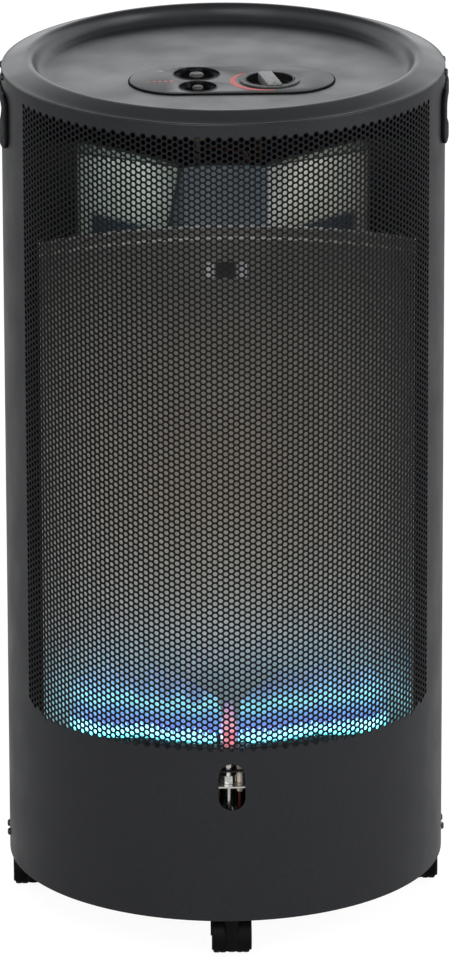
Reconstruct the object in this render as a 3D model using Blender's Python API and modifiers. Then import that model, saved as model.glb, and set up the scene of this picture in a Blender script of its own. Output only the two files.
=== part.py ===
# Gas space heater: a drum cabinet on castors with a burner in front and a bottle space behind
# Metres, +Z up, front towards -Y, origin on the floor under the middle of the drum
# An azimuth is 0 at the front and grows towards +X

import math

import bmesh
import bpy
from mathutils import Matrix, Vector

# Shared clearances
GAP = 0.0003
OVERRUN = 0.003
TURN_STEPS = 60

# Drum
DRUM_RADIUS = 0.2125
DRUM_SHEET = 0.0012
DRUM_BOTTOM = 0.047
HEIGHT = 0.850
SEAM_GAP = 0.0006
SEAM_AZIMUTH = math.radians(90)

# Perforated window, with fewer and wider holes than the real sheet
WINDOW_BOTTOM = 0.222
WINDOW_BELOW_TOP = 0.018
HOLE_COLUMNS = 11
HOLE_ROWS = 11
COLUMN_TURN = math.radians(12)
HOLE_WIDTH = 0.039

# Viewing slot
SLOT_WIDTH = 0.026
SLOT_HEIGHT = 0.0475
SLOT_LEVEL = 0.1844

# Lid
LID_SHEET = 0.0012
LID_EDGE_WIDTH = 0.0070
LID_EDGE_DROP = 0.0046
LID_RING_DROP = 0.0014
LID_RING_WIDTH = 0.0285
LID_CROWN_RADIUS = 0.0040
LID_FILLET = 0.0030
LID_WALL_RUN = 0.0072
RECESS_DEPTH = 0.0126
SKIRT_DEPTH = 0.010

# Base and bottle tray
BASE_SHEET = 0.0015
BASE_LIFT = 0.0030
BASE_RIM = 0.0250
TRAY_RADIUS = 0.100
TRAY_HEIGHT = 0.0085
TRAY_INSET = 0.0325

# Heat shield, in plan
SHIELD_SHEET = 0.0010
SHIELD_BELOW_TOP = 0.090
SHIELD_FRONT_Y = -0.060
SHIELD_FRONT_HALF = 0.041
SHIELD_WING_Y = 0.026
SHIELD_WING_HALF = 0.139
SHIELD_FLANGE = 0.010

# Reflector
REFLECTOR_SHEET = 0.0009
REFLECTOR_BELOW_TOP = 0.149
REFLECTOR_RADIUS = 0.340
REFLECTOR_MIDDLE_Y = -0.063
REFLECTOR_FACETS = 16
BRACKET_WIDTH = 0.040
BRACKET_HEIGHT = 0.015
BRACKET_DROP = 0.0435
BRACKET_SHEET = 0.0015
BRACKET_PIN_RADIUS = 0.0025
BRACKET_PIN_SPREAD = 0.024

# Burner
BURNER_TRAY_TOP = 0.1845
BURNER_TRAY_SHEET = 0.0015
BURNER_TRAY_REAR = -0.010
BURNER_TRAY_CLEARANCE = 0.0005
ARM_RADIUS = 0.009
ARM_INSET = 0.0475
ARM_LEVEL = 0.2035
ARM_END_AZIMUTH = math.radians(48)
ARM_START_AZIMUTH = math.radians(10)
ARM_STUB = 0.006
ARM_POINTS = 8
MANIFOLD_WIDTH = 0.032
MANIFOLD_DEPTH = 0.048
MANIFOLD_HEIGHT = 0.0215
MIXING_RADIUS = 0.010
MIXING_THROAT = 0.0065
MIXING_WALL = 0.0015
MIXING_MOUTH = 0.014
MIXING_LENGTH = 0.0640
# Where the neck's ends lie, as shares of the length from the mouth up
MIXING_NECK_SHARES = (0.25, 0.42)
MIXING_WIDE_SHARE = 0.62
MIXING_INSET = 0.0625
INJECTOR_RADIUS = 0.005
INJECTOR_FLANGE = 0.008
INJECTOR_FLANGE_HEIGHT = 0.006
INJECTOR_TIP = 0.0025
INJECTOR_BODY = 0.010
INJECTOR_CONE = 0.008
HOLDER_WIDTH = 0.034
HOLDER_DEPTH = 0.014
HOLDER_SHEET = 0.0015
HOLDER_DROP = 0.064

# Gas pipe and the leads, which share a vertical run behind the heat shield
PIPE_RADIUS = 0.0040
PIPE_BEND = 0.010
PIPE_X = 0.033
PIPE_LEVEL = 0.098
RISER_Y = -0.043
PILOT_TUBE_RADIUS = 0.0030
PILOT_TUBE_LEVEL = 0.125
PILOT_TUBE_BELOW_TOP = 0.076
LEAD_RADIUS = 0.0012
LEAD_X = -0.0195
LEAD_LEVEL = 0.140
LEAD_BELOW_TOP = 0.069
IGNITION_LEAD_RADIUS = 0.0015
IGNITION_X = 0.0215
IGNITION_LEVEL = 0.155
IGNITION_BELOW_TOP = 0.082
LEAD_BEND = 0.005
LEADS_TURN_INSET = 0.0515
BEND_POINTS = 3

# Pilot
PILOT_X = -0.003
PILOT_INSET = 0.0155
PILOT_NUT_RADIUS = 0.0075
PILOT_NUT_HEIGHT = 0.0080
PILOT_NECK_RADIUS = 0.0035
PILOT_NECK_HEIGHT = 0.0080
PILOT_HEAD_RADIUS = 0.0048
PILOT_HEAD_HEIGHT = 0.0140
THERMOCOUPLE_X = -0.0120
THERMOCOUPLE_INSET = 0.0175
THERMOCOUPLE_RADIUS = 0.0020
THERMOCOUPLE_TOP = 0.232
THERMOCOUPLE_LENGTH = 0.045
ELECTRODE_X = 0.0078
ELECTRODE_INSET = 0.0175
CERAMIC_RADIUS = 0.0030
CERAMIC_BOTTOM = 0.1750
CERAMIC_TOP = 0.2080
SPARK_WIRE_RADIUS = 0.0009
SPARK_WIRE_LENGTH = 0.0140
PILOT_PLATE_WIDTH = 0.038
PILOT_PLATE_DEPTH = 0.013
PILOT_PLATE_SHEET = 0.0012
PILOT_PLATE_LIFT = 0.0130

# Control panel, an oval plate in the lid's recess
PANEL_X = 0.007
PANEL_Y = -0.0375
PANEL_LENGTH = 0.195
PANEL_DEPTH = 0.092
PANEL_SHEET = 0.0016
PANEL_LIP = 0.006

# Knob
KNOB_X = 0.043
KNOB_Y = -0.043
KNOB_RADIUS = 0.0233
KNOB_WALL = 0.0018
KNOB_WALL_RISE = 0.0026
KNOB_DEPTH = 0.0083
KNOB_FLOOR = 0.0020
KNOB_BAR_WIDTH = 0.0136
KNOB_BAR_RISE = 0.0042
KNOB_BAR_AZIMUTH = math.radians(11)
KNOB_POINTER_WIDTH = 0.0022
KNOB_POINTER_LENGTH = 0.0060
KNOB_POINTER_DEPTH = 0.0010
KNOB_HUB_RADIUS = 0.0070
KNOB_HUB_LENGTH = 0.0025
BEZEL_WIDTH = 0.0050
BEZEL_HEIGHT = 0.0026

# Dishes and their buttons
IGNITION_DISH_RADIUS = 0.023
START_DISH_RADIUS = 0.019
DISHES_X = -0.026
IGNITION_DISH_Y = -0.0175
START_DISH_Y = -0.0615
DISH_RIM = 0.0007
DISH_RIM_LAP = 0.0022
DISH_WALL = 0.0012
DISH_DEPTH = 0.0100
DISH_FLOOR_SHARE = 0.42
DISH_CURVE_POINTS = 3
IGNITION_BUTTON_RADIUS = 0.0070
START_BUTTON_RADIUS = 0.0052
BUTTON_CAP = 0.0038
BUTTON_EDGE = 0.0008
BUTTON_CLEARANCE = 0.0062
BUTTON_STEM_RADIUS = 0.0028
BUTTON_STEM_REACH = 0.0070

# Valve, piezo igniter and gas inlet under the panel
VALVE_SIDE = 0.034
VALVE_TOP_BELOW = 0.028
VALVE_BOTTOM_BELOW = 0.055
VALVE_NECK_RADIUS = 0.0070
SAFETY_RADIUS = 0.011
SAFETY_BOTTOM_BELOW = 0.061
BRIDGE_DEPTH = 0.015
BRIDGE_TOP_BELOW = 0.034
BRIDGE_BOTTOM_BELOW = 0.050
STEM_BORE_DEPTH = 0.0150
SPINDLE_RADIUS = 0.0040
SPINDLE_BELOW = 0.0140
SPINDLE_SOCKET = 0.0085
PIEZO_RADIUS = 0.009
PIEZO_LENGTH = 0.044
INLET_BELOW_TOP = 0.0415
INLET_HEX_RADIUS = 0.0090
INLET_HEX_LENGTH = 0.0080
INLET_RADIUS = 0.0040
INLET_BARB = 0.0008
INLET_BARB_PITCH = 0.0060
INLET_BARBS = 4
INLET_BORE = 0.0022
INLET_BORE_DEPTH = 0.0180

# Side handles
HANDLE_WIDTH = 0.105
HANDLE_HEIGHT = 0.054
HANDLE_BELOW_TOP = 0.049
HANDLE_PROUD = 0.0035
HANDLE_CORNER = 0.012
CUP_WIDTH = 0.078
CUP_HEIGHT = 0.034
CUP_DEPTH = 0.022
CUP_WALL = 0.0018
CUP_CLEARANCE = 0.0006

# Screws
SCREW_HEAD_RADIUS = 0.0034
SCREW_HEAD_TOP_RADIUS = 0.0024
SCREW_HEAD_HEIGHT = 0.0024
SCREW_SHANK_RADIUS = 0.0017
SCREW_LENGTH = 0.0070
SCREW_SIDE_OFFSET = 0.022
SCREW_BELOW_SEAM = 0.0045

# Rear door, its hinges and magnets
DOOR_HALF_TURN = math.radians(52)
DOOR_BOTTOM = 0.080
DOOR_BELOW_TOP = 0.150
DOOR_GAP = 0.0008
LOUVRE_WIDTH = 0.008
LOUVRE_HEIGHT = 0.055
LOUVRE_PITCH = 0.030
LOUVRE_COLUMNS = 5
LOUVRE_ABOVE_FOOT = 0.070
LOUVRE_BELOW_TOP = 0.080
FINGER_HOLE_RADIUS = 0.0125
FINGER_HOLE_X = 0.146
HINGE_HEIGHT = 0.400
HINGE_KNUCKLES = 5
HINGE_GAP = 0.0006
LEAF_REACH = 0.020
LEAF_START = 0.0042
LEAF_SHEET = 0.0015
WEB_REACH = LEAF_START + LEAF_SHEET
KNUCKLE_RADIUS = 0.0035
HINGE_PIN_RADIUS = 0.0017
MAGNET_WIDTH = 0.024
MAGNET_DEPTH = 0.008
MAGNET_HEIGHT = 0.040
MAGNET_CLEARANCE = 0.0007

# Castors
WHEEL_RADIUS = 0.020
WHEEL_WIDTH = 0.0130
WHEEL_EDGE = 0.0025
WHEEL_SPACING = 0.0222
WHEEL_STEPS = 20
AXLE_RADIUS = 0.0025
AXLE_LENGTH = 0.0345
CASTOR_TRAIL = 0.018
CASTOR_INSET = 0.0225
HOOD_RADIUS = 0.023
HOOD_WIDTH = 0.0396
HOOD_EDGE = 0.0035
HOOD_STEPS = 24
HOOD_BOTTOM = 0.009
HOOD_WEB = 0.0084
WHEEL_CLEARANCE = 0.0012
BOSS_RADIUS = 0.0075
STEM_RADIUS = 0.0040
STEM_BOTTOM = 0.026
STEM_COLLAR_RADIUS = 0.0080
STEM_HEAD_RADIUS = 0.0070
STEM_HEAD_HEIGHT = 0.0060

# Places, heights and radii that follow from the values above
INNER_RADIUS = DRUM_RADIUS - DRUM_SHEET - GAP
CASTOR_CIRCLE = DRUM_RADIUS - CASTOR_INSET
DOOR_HALF_WIDTH = DRUM_RADIUS * math.sin(DOOR_HALF_TURN)
TRAY_CENTRE_Y = DRUM_RADIUS - TRAY_INSET - TRAY_RADIUS
ARM_PATH_RADIUS = DRUM_RADIUS - ARM_INSET
MIXING_Y = MIXING_INSET - DRUM_RADIUS
PILOT_Y = PILOT_INSET - DRUM_RADIUS
THERMOCOUPLE_Y = THERMOCOUPLE_INSET - DRUM_RADIUS
ELECTRODE_Y = ELECTRODE_INSET - DRUM_RADIUS
LEADS_TURN_Y = LEADS_TURN_INSET - DRUM_RADIUS
WINDOW_TOP = HEIGHT - WINDOW_BELOW_TOP
SHIELD_TOP = HEIGHT - SHIELD_BELOW_TOP
REFLECTOR_TOP = HEIGHT - REFLECTOR_BELOW_TOP
BRACKET_LEVEL = REFLECTOR_TOP - BRACKET_DROP
PILOT_TUBE_TOP = HEIGHT - PILOT_TUBE_BELOW_TOP
LEAD_TOP = HEIGHT - LEAD_BELOW_TOP
IGNITION_TOP = HEIGHT - IGNITION_BELOW_TOP
VALVE_TOP = HEIGHT - VALVE_TOP_BELOW
VALVE_BOTTOM = HEIGHT - VALVE_BOTTOM_BELOW
SAFETY_BOTTOM = HEIGHT - SAFETY_BOTTOM_BELOW
BRIDGE_TOP = HEIGHT - BRIDGE_TOP_BELOW
BRIDGE_BOTTOM = HEIGHT - BRIDGE_BOTTOM_BELOW
INLET_LEVEL = HEIGHT - INLET_BELOW_TOP
HANDLE_LEVEL = HEIGHT - HANDLE_BELOW_TOP
DOOR_TOP = HEIGHT - DOOR_BELOW_TOP
LOUVRE_LEVELS = (DOOR_BOTTOM + LOUVRE_ABOVE_FOOT, DOOR_TOP - LOUVRE_BELOW_TOP)
HINGE_LEVEL = (DOOR_BOTTOM + DOOR_TOP) / 2
FINGER_HOLE_LEVEL = HINGE_LEVEL
SEAM_LEVEL = HEIGHT - LID_RING_DROP - LID_EDGE_DROP
FLOOR_LEVEL = HEIGHT - RECESS_DEPTH
PANEL_BOTTOM = FLOOR_LEVEL + GAP
PANEL_TOP = PANEL_BOTTOM + PANEL_SHEET
RIM_LEVEL = PANEL_TOP + GAP
DISH_FLOOR = RIM_LEVEL + DISH_RIM - DISH_DEPTH
DISH_BOTTOM = DISH_FLOOR - DISH_WALL
UNDER_DISH = DISH_BOTTOM - GAP
BASE_BOTTOM = DRUM_BOTTOM + BASE_LIFT
BASE_FLOOR = BASE_BOTTOM + BASE_SHEET
KNOB_FLOOR_TOP = RIM_LEVEL + BEZEL_HEIGHT - KNOB_DEPTH
KNOB_HUB_BOTTOM = KNOB_FLOOR_TOP - KNOB_FLOOR - KNOB_HUB_LENGTH
BURNER_TRAY_BOTTOM = BURNER_TRAY_TOP - BURNER_TRAY_SHEET
HINGE_AZIMUTH = math.pi + DOOR_HALF_TURN
HINGE_RADIUS = DRUM_RADIUS + GAP + KNUCKLE_RADIUS
MIXING_TOP = ARM_LEVEL - MANIFOLD_HEIGHT / 2 - GAP

# Colours of the finishes, each with its roughness and metallic value
FINISHES = {
    "anthracite_coat": ((0.030, 0.031, 0.035), 0.42, 0.0),
    "panel_coat": ((0.20, 0.20, 0.21), 0.40, 0.0),
    "black_gloss": ((0.008, 0.008, 0.009), 0.12, 0.0),
    "black_plastic": ((0.012, 0.012, 0.013), 0.45, 0.0),
    "grey_plastic": ((0.30, 0.30, 0.31), 0.45, 0.0),
    "galvanised_steel": ((0.55, 0.56, 0.57), 0.38, 1.0),
    "heat_stained_steel": ((0.45, 0.43, 0.40), 0.32, 1.0),
    "brass": ((0.72, 0.52, 0.22), 0.30, 1.0),
    "copper": ((0.75, 0.42, 0.28), 0.35, 1.0),
    "ceramic": ((0.78, 0.70, 0.58), 0.35, 0.0),
    "black_screw": ((0.05, 0.05, 0.055), 0.35, 1.0),
    "red_lead": ((0.45, 0.04, 0.03), 0.55, 0.0),
    "ferrite": ((0.06, 0.06, 0.065), 0.65, 0.0),
}


def start_scene():
    for old in list(bpy.data.objects):
        bpy.data.objects.remove(old)
    for title in ("gas_space_heater", "cutters"):
        group = bpy.data.collections.new(title)
        bpy.context.scene.collection.children.link(group)


def finish_named(title):
    found = bpy.data.materials.get(title)
    if found:
        return found
    colour, roughness, metallic = FINISHES[title]
    made = bpy.data.materials.new(title)
    made.use_nodes = True
    shader = made.node_tree.nodes["Principled BSDF"]
    shader.inputs["Base Color"].default_value = (*colour, 1.0)
    shader.inputs["Roughness"].default_value = roughness
    shader.inputs["Metallic"].default_value = metallic
    return made


def add_part(name, data, finish):
    part = bpy.data.objects.new(name, data)
    bpy.data.collections["gas_space_heater"].objects.link(part)
    data.materials.clear()
    data.materials.append(finish_named(finish))
    if isinstance(data, bpy.types.Mesh) and data.polygons:
        data.shade_smooth()
        data.set_sharp_from_angle(angle=math.radians(35))
    return part


def add_cutter(name, data):
    cutter = bpy.data.objects.new(name, data)
    bpy.data.collections["cutters"].objects.link(cutter)
    cutter.hide_render = True
    cutter.display_type = "WIRE"
    return cutter


def combine(part, other, operation):
    step = part.modifiers.new(other.name, "BOOLEAN")
    step.operation = operation
    step.solver = "EXACT"
    step.object = other


def cut(part, other):
    combine(part, other, "DIFFERENCE")


def join(part, other):
    combine(part, other, "UNION")


def frozen_mesh(part, name):
    bpy.context.view_layer.update()
    shaped = part.evaluated_get(bpy.context.evaluated_depsgraph_get())
    mesh = bpy.data.meshes.new_from_object(shaped)
    mesh.name = name
    return mesh


# Plain shapes as meshes

def mesh_from(build):
    shape = bmesh.new()
    build(shape)
    mesh = bpy.data.meshes.new("shape")
    shape.to_mesh(mesh)
    shape.free()
    return mesh


def add_box(shape, low, high, turn=None):
    low, high = Vector(low), Vector(high)
    size = high - low
    place = Matrix.Translation((low + high) / 2) @ Matrix.Diagonal((*size, 1))
    if turn is not None:
        place = turn @ place
    bmesh.ops.create_cube(shape, size=1, matrix=place)


def box_mesh(low, high, turn=None):
    return mesh_from(lambda shape: add_box(shape, low, high, turn))


def add_rod(shape, radius, length, place, sides=16):
    middle = place @ Matrix.Translation((0, 0, length / 2))
    bmesh.ops.create_cone(
        shape, cap_ends=True, segments=sides, radius1=radius, radius2=radius, depth=length, matrix=middle
    )


def rod_mesh(radius, low, high, x=0.0, y=0.0, sides=16):
    place = Matrix.Translation((x, y, low))
    return mesh_from(lambda shape: add_rod(shape, radius, high - low, place, sides))


def add_stepped_rod(shape, steps, place, sides=12):
    # Each step is a radius and a length, the first one at the foot
    radius, length = steps[0]
    before = set(shape.verts)
    add_rod(shape, radius, length, Matrix.Identity(4), sides)
    foot = [v for v in shape.verts if v not in before]
    top = max({f for v in foot for f in v.link_faces}, key=lambda f: f.calc_center_median().z)
    for next_radius, next_length in steps[1:]:
        for share, rise in ((next_radius / radius, 0.0), (1.0, next_length)):
            made = bmesh.ops.extrude_face_region(shape, geom=[top])["geom"]
            rim = [g for g in made if isinstance(g, bmesh.types.BMVert)]
            shape.faces.remove(top)
            top = next(g for g in made if isinstance(g, bmesh.types.BMFace))
            for vert in rim:
                vert.co = Vector((vert.co.x * share, vert.co.y * share, vert.co.z + rise))
        radius = next_radius
    solid = [v for v in shape.verts if v not in before]
    bmesh.ops.transform(shape, matrix=place, verts=solid)


def stadium(length, depth, corner_points=10):
    # The points of an outline with half-round ends, longest along X
    radius = depth / 2
    straight = length / 2 - radius
    points = []
    for side, start in ((1, -math.pi / 2), (-1, math.pi / 2)):
        for step in range(corner_points + 1):
            angle = start + math.pi * step / corner_points
            points.append((side * straight + radius * math.cos(angle), radius * math.sin(angle)))
    return points


def rounded_rectangle(width, height, corner, corner_points=5):
    points = []
    for quarter, (sx, sy) in enumerate(((1, -1), (1, 1), (-1, 1), (-1, -1))):
        for step in range(corner_points + 1):
            angle = math.pi / 2 * (quarter - 1 + step / corner_points)
            x = sx * (width / 2 - corner) + corner * math.cos(angle)
            y = sy * (height / 2 - corner) + corner * math.sin(angle)
            points.append((x, y))
    return points


def outline_mesh(points, thickness):
    # A flat outline as a filled curve with half its thickness on each side, then as one closed mesh
    curve = bpy.data.curves.new("outline", "CURVE")
    curve.dimensions = "2D"
    curve.fill_mode = "BOTH"
    curve.extrude = thickness / 2
    line = curve.splines.new("POLY")
    line.points.add(len(points) - 1)
    for point, (x, y) in zip(line.points, points):
        point.co = (x, y, 0, 1)
    line.use_cyclic_u = True
    holder = bpy.data.objects.new("outline", curve)
    bpy.data.collections["cutters"].objects.link(holder)
    mesh = frozen_mesh(holder, "outline")
    bpy.data.objects.remove(holder)
    shape = bmesh.new()
    shape.from_mesh(mesh)
    bmesh.ops.remove_doubles(shape, verts=shape.verts, dist=GAP / 10)
    bmesh.ops.recalc_face_normals(shape, faces=shape.faces)
    shape.to_mesh(mesh)
    shape.free()
    return mesh


def moved(mesh, matrix):
    mesh.transform(matrix)
    return mesh


def turned(name, profile, finish, closed=False, steps=24):
    # A profile of radius and height at +X, swept round Z
    mesh = bpy.data.meshes.new(name)
    edges = [(i, i + 1) for i in range(len(profile) - 1)]
    if closed:
        edges.append((len(profile) - 1, 0))
    mesh.from_pydata([(r, 0, z) for r, z in profile], edges, [])
    part = add_part(name, mesh, finish)
    add_screw(part, steps)
    return part


def add_screw(part, steps, angle=2 * math.pi):
    sweep = part.modifiers.new("turn", "SCREW")
    sweep.axis = "Z"
    sweep.angle = angle
    sweep.steps = steps
    sweep.render_steps = steps
    sweep.use_merge_vertices = True
    sweep.merge_threshold = GAP / 10
    sweep.use_smooth_shade = True


def thicken(part, thickness):
    shell = part.modifiers.new("sheet", "SOLIDIFY")
    shell.thickness = thickness
    shell.offset = -1
    shell.use_even_offset = True


def drum_band(name, start, end, bottom, top, radius, thickness, finish):
    # Part of a drum wall between two azimuths, its outer face at the radius
    mesh = bpy.data.meshes.new(name)
    mesh.from_pydata([(radius, 0, top), (radius, 0, bottom)], [(0, 1)], [])
    part = add_part(name, mesh, finish)
    steps = max(1, round((end - start) / (2 * math.pi) * TURN_STEPS))
    add_screw(part, steps, end - start)
    thicken(part, thickness)
    part.rotation_euler.z = start - math.pi / 2
    return part


def on_drum(azimuth, radius=0.0, level=0.0):
    # A frame on the drum whose Z points outwards and whose Y points up
    place = Matrix.Rotation(azimuth, 4, "Z") @ Matrix.Translation((0, -radius, level))
    return place @ Matrix.Rotation(math.pi / 2, 4, "X")


def tube(name, path, radius, finish, swell=None):
    curve = bpy.data.curves.new(name, "CURVE")
    curve.dimensions = "3D"
    curve.bevel_depth = radius
    curve.bevel_resolution = 2
    curve.use_fill_caps = True
    line = curve.splines.new("POLY")
    line.points.add(len(path) - 1)
    for point, place in zip(line.points, path):
        point.co = (*place, 1)
        point.radius = swell(place) if swell else 1.0
    return add_part(name, curve, finish)


def bent_path(corners, radius):
    # A run of straight lengths joined by bends of one radius
    corners = [Vector(c) for c in corners]
    path = [corners[0]]
    for before, corner, after in zip(corners, corners[1:], corners[2:]):
        inward = (corner - before).normalized()
        outward = (after - corner).normalized()
        turn = inward.angle(outward)
        side = (outward - inward * inward.dot(outward)).normalized()
        middle = corner - inward * radius * math.tan(turn / 2) + side * radius
        for step in range(BEND_POINTS + 1):
            angle = turn * step / BEND_POINTS
            path.append(middle - side * radius * math.cos(angle) + inward * radius * math.sin(angle))
    path.append(corners[-1])
    return path


def round_corner(centre, across, up, start, end, points=4):
    # Points of an elliptic corner in a profile, from one angle in degrees to another
    made = []
    for step in range(points + 1):
        angle = math.radians(start + (end - start) * step / points)
        made.append((centre[0] + across * math.cos(angle), centre[1] + up * math.sin(angle)))
    return made


def offset_profile(points, distance):
    # The same profile moved sideways by a sheet's thickness, with mitred corners
    made = []
    for i, point in enumerate(points):
        sides = []
        for a, b in ((i - 1, i), (i, i + 1)):
            if 0 <= a and b < len(points):
                along = (Vector(points[b]) - Vector(points[a])).normalized()
                sides.append(Vector((-along.y, along.x)))
        side = sum(sides, Vector((0, 0))).normalized()
        made.append(tuple(Vector(point) - side * distance / side.dot(sides[0])))
    return made


# Screws through the casings into the lid's skirt

def screw_places():
    # The frame of each screw's seat, its Z pointing outwards
    offset = math.asin(SCREW_SIDE_OFFSET / DRUM_RADIUS)
    level = SEAM_LEVEL - SCREW_BELOW_SEAM
    places = {}
    for side_name, side in (("left", -1), ("right", 1)):
        for end_name, shift in (("front", -side), ("rear", side)):
            azimuth = side * SEAM_AZIMUTH + shift * offset
            places["lid_screw_" + end_name + "_" + side_name] = on_drum(azimuth, DRUM_RADIUS + GAP, level)
    return places


def make_screws():
    half = SCREW_HEAD_HEIGHT / 2
    steps = [(SCREW_HEAD_TOP_RADIUS, half), (SCREW_HEAD_RADIUS, half), (SCREW_SHANK_RADIUS, SCREW_LENGTH)]
    for name, place in screw_places().items():
        inwards = Matrix.Translation((0, 0, SCREW_HEAD_HEIGHT)) @ Matrix.Rotation(math.pi, 4, "X")
        screw = add_part(name, mesh_from(lambda s: add_stepped_rod(s, steps, inwards, 12)), "black_screw")
        screw.matrix_world = place


def make_screw_holes():
    def build(shape):
        for place in screw_places().values():
            low = place @ Matrix.Translation((0, 0, -SCREW_LENGTH - OVERRUN))
            add_rod(shape, SCREW_SHANK_RADIUS + GAP, SCREW_LENGTH + 2 * OVERRUN, low, sides=8)
    return add_cutter("screw_holes", mesh_from(build))


# Base

def make_base_plate():
    rim_inner = INNER_RADIUS - BASE_SHEET
    profile = [
        (0, BASE_FLOOR),
        (rim_inner, BASE_FLOOR),
        (rim_inner, BASE_BOTTOM + BASE_RIM),
        (INNER_RADIUS, BASE_BOTTOM + BASE_RIM),
        (INNER_RADIUS, BASE_BOTTOM),
        (0, BASE_BOTTOM),
    ]
    base = turned("base_plate", profile, "galvanised_steel", steps=TURN_STEPS)

    def stem_holes(shape):
        for x, y in castor_spots():
            place = Matrix.Translation((x, y, BASE_BOTTOM - OVERRUN))
            add_rod(shape, STEM_RADIUS + GAP, BASE_SHEET + 2 * OVERRUN, place, sides=12)
    cut(base, add_cutter("stem_holes", mesh_from(stem_holes)))


def make_bottle_tray():
    # A low round platform whose top stands clear of the castor stems' heads
    bottom = BASE_FLOOR + GAP
    top = bottom + TRAY_HEIGHT
    profile = [
        (0, top), (TRAY_RADIUS, top), (TRAY_RADIUS, bottom), (TRAY_RADIUS - BASE_SHEET, bottom),
        (TRAY_RADIUS - BASE_SHEET, top - BASE_SHEET), (0, top - BASE_SHEET),
    ]
    tray = turned("bottle_tray", profile, "galvanised_steel", steps=36)
    tray.location.y = TRAY_CENTRE_Y


# Casings and lid

def make_front_casing(screw_holes, cup_spaces):
    half_gap = SEAM_GAP / 2 / DRUM_RADIUS
    casing = drum_band(
        "front_casing", -SEAM_AZIMUTH + half_gap, SEAM_AZIMUTH - half_gap,
        DRUM_BOTTOM, SEAM_LEVEL - GAP, DRUM_RADIUS, DRUM_SHEET, "anthracite_coat",
    )
    pitch = (WINDOW_TOP - WINDOW_BOTTOM) / HOLE_ROWS

    def holes(shape):
        for column in range(HOLE_COLUMNS):
            azimuth = COLUMN_TURN * (column - (HOLE_COLUMNS - 1) / 2)
            shift = column % 2
            for row in range(HOLE_ROWS - shift):
                level = WINDOW_BOTTOM + pitch * (row + 0.5 + shift / 2)
                place = on_drum(azimuth, DRUM_RADIUS - DRUM_SHEET - OVERRUN, level)
                add_rod(shape, HOLE_WIDTH / 2, DRUM_SHEET + 2 * OVERRUN, place, sides=6)
    cut(casing, add_cutter("window_holes", mesh_from(holes)))
    slot = outline_mesh(stadium(SLOT_HEIGHT, SLOT_WIDTH, 8), DRUM_SHEET + 4 * OVERRUN)
    upright = on_drum(0, DRUM_RADIUS, SLOT_LEVEL) @ Matrix.Rotation(math.pi / 2, 4, "Z")
    cut(casing, add_cutter("viewing_slot", moved(slot, upright)))
    cut(casing, cup_spaces)
    cut(casing, screw_holes)


def make_rear_casing(screw_holes, cup_spaces):
    half_gap = SEAM_GAP / 2 / DRUM_RADIUS
    casing = drum_band(
        "rear_casing", SEAM_AZIMUTH + half_gap, 2 * math.pi - SEAM_AZIMUTH - half_gap,
        DRUM_BOTTOM, SEAM_LEVEL - GAP, DRUM_RADIUS, DRUM_SHEET, "anthracite_coat",
    )
    opening = box_mesh(
        (-DOOR_HALF_WIDTH, 0, DOOR_BOTTOM), (DOOR_HALF_WIDTH, DRUM_RADIUS + OVERRUN, DOOR_TOP)
    )
    cut(casing, add_cutter("door_opening", opening))
    cut(casing, cup_spaces)
    cut(casing, screw_holes)


def make_lid(screw_holes):
    crown = DRUM_RADIUS - LID_RING_WIDTH
    floor_radius = crown - LID_WALL_RUN
    edge = (DRUM_RADIUS - LID_EDGE_WIDTH, SEAM_LEVEL)
    upper = [(0, FLOOR_LEVEL)]
    upper += round_corner(
        (floor_radius - LID_FILLET, FLOOR_LEVEL + LID_FILLET), LID_FILLET, LID_FILLET, -90, -10, 1
    )
    upper += round_corner(
        (crown, HEIGHT - LID_CROWN_RADIUS), LID_CROWN_RADIUS, LID_CROWN_RADIUS, 170, 90, 2
    )
    upper += round_corner(edge, LID_EDGE_WIDTH, LID_EDGE_DROP, 90, 0, 3)
    upper += [(INNER_RADIUS, SEAM_LEVEL), (INNER_RADIUS, SEAM_LEVEL - SKIRT_DEPTH)]
    lower = offset_profile(upper, LID_SHEET)
    lid = turned("top_lid", upper + lower[::-1], "anthracite_coat", steps=TURN_STEPS)
    hole = outline_mesh(
        stadium(PANEL_LENGTH - 2 * PANEL_LIP, PANEL_DEPTH - 2 * PANEL_LIP), LID_SHEET + 2 * OVERRUN
    )
    place = Matrix.Translation((PANEL_X, PANEL_Y, FLOOR_LEVEL - LID_SHEET / 2))
    cut(lid, add_cutter("panel_opening", moved(hole, place)))
    cut(lid, screw_holes)


# Heat shield and reflector

def shield_outline():
    # The corners of the shield's front face, from left to right
    rear = SHIELD_WING_Y + SHIELD_SHEET + SHIELD_FLANGE
    reach = math.sqrt((INNER_RADIUS - GAP) ** 2 - rear ** 2)
    half = [
        (reach, SHIELD_WING_Y), (SHIELD_WING_HALF, SHIELD_WING_Y), (SHIELD_FRONT_HALF, SHIELD_FRONT_Y)
    ]
    return [(-x, y) for x, y in half] + half[::-1]


def wall_mesh(line, bottom, top, flange=0.0):
    # An upright wall along a line in plan, with a flange towards the rear at its top
    shape = bmesh.new()
    verts = [shape.verts.new((x, y, top)) for x, y in line]
    edges = [shape.edges.new(pair) for pair in zip(verts, verts[1:])]
    fall = bmesh.ops.extrude_edge_only(shape, edges=edges)["geom"]
    lower = [g for g in fall if isinstance(g, bmesh.types.BMVert)]
    bmesh.ops.translate(shape, verts=lower, vec=(0, 0, bottom - top))
    if flange:
        lip = bmesh.ops.extrude_edge_only(shape, edges=edges)["geom"]
        rear = [g for g in lip if isinstance(g, bmesh.types.BMVert)]
        bmesh.ops.translate(shape, verts=rear, vec=(0, flange, 0))
    bmesh.ops.recalc_face_normals(shape, faces=shape.faces)
    front = min(shape.faces, key=lambda f: f.calc_center_median().y)
    if front.normal.y > 0:
        bmesh.ops.reverse_faces(shape, faces=shape.faces)
    mesh = bpy.data.meshes.new("wall")
    shape.to_mesh(mesh)
    shape.free()
    return mesh


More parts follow.
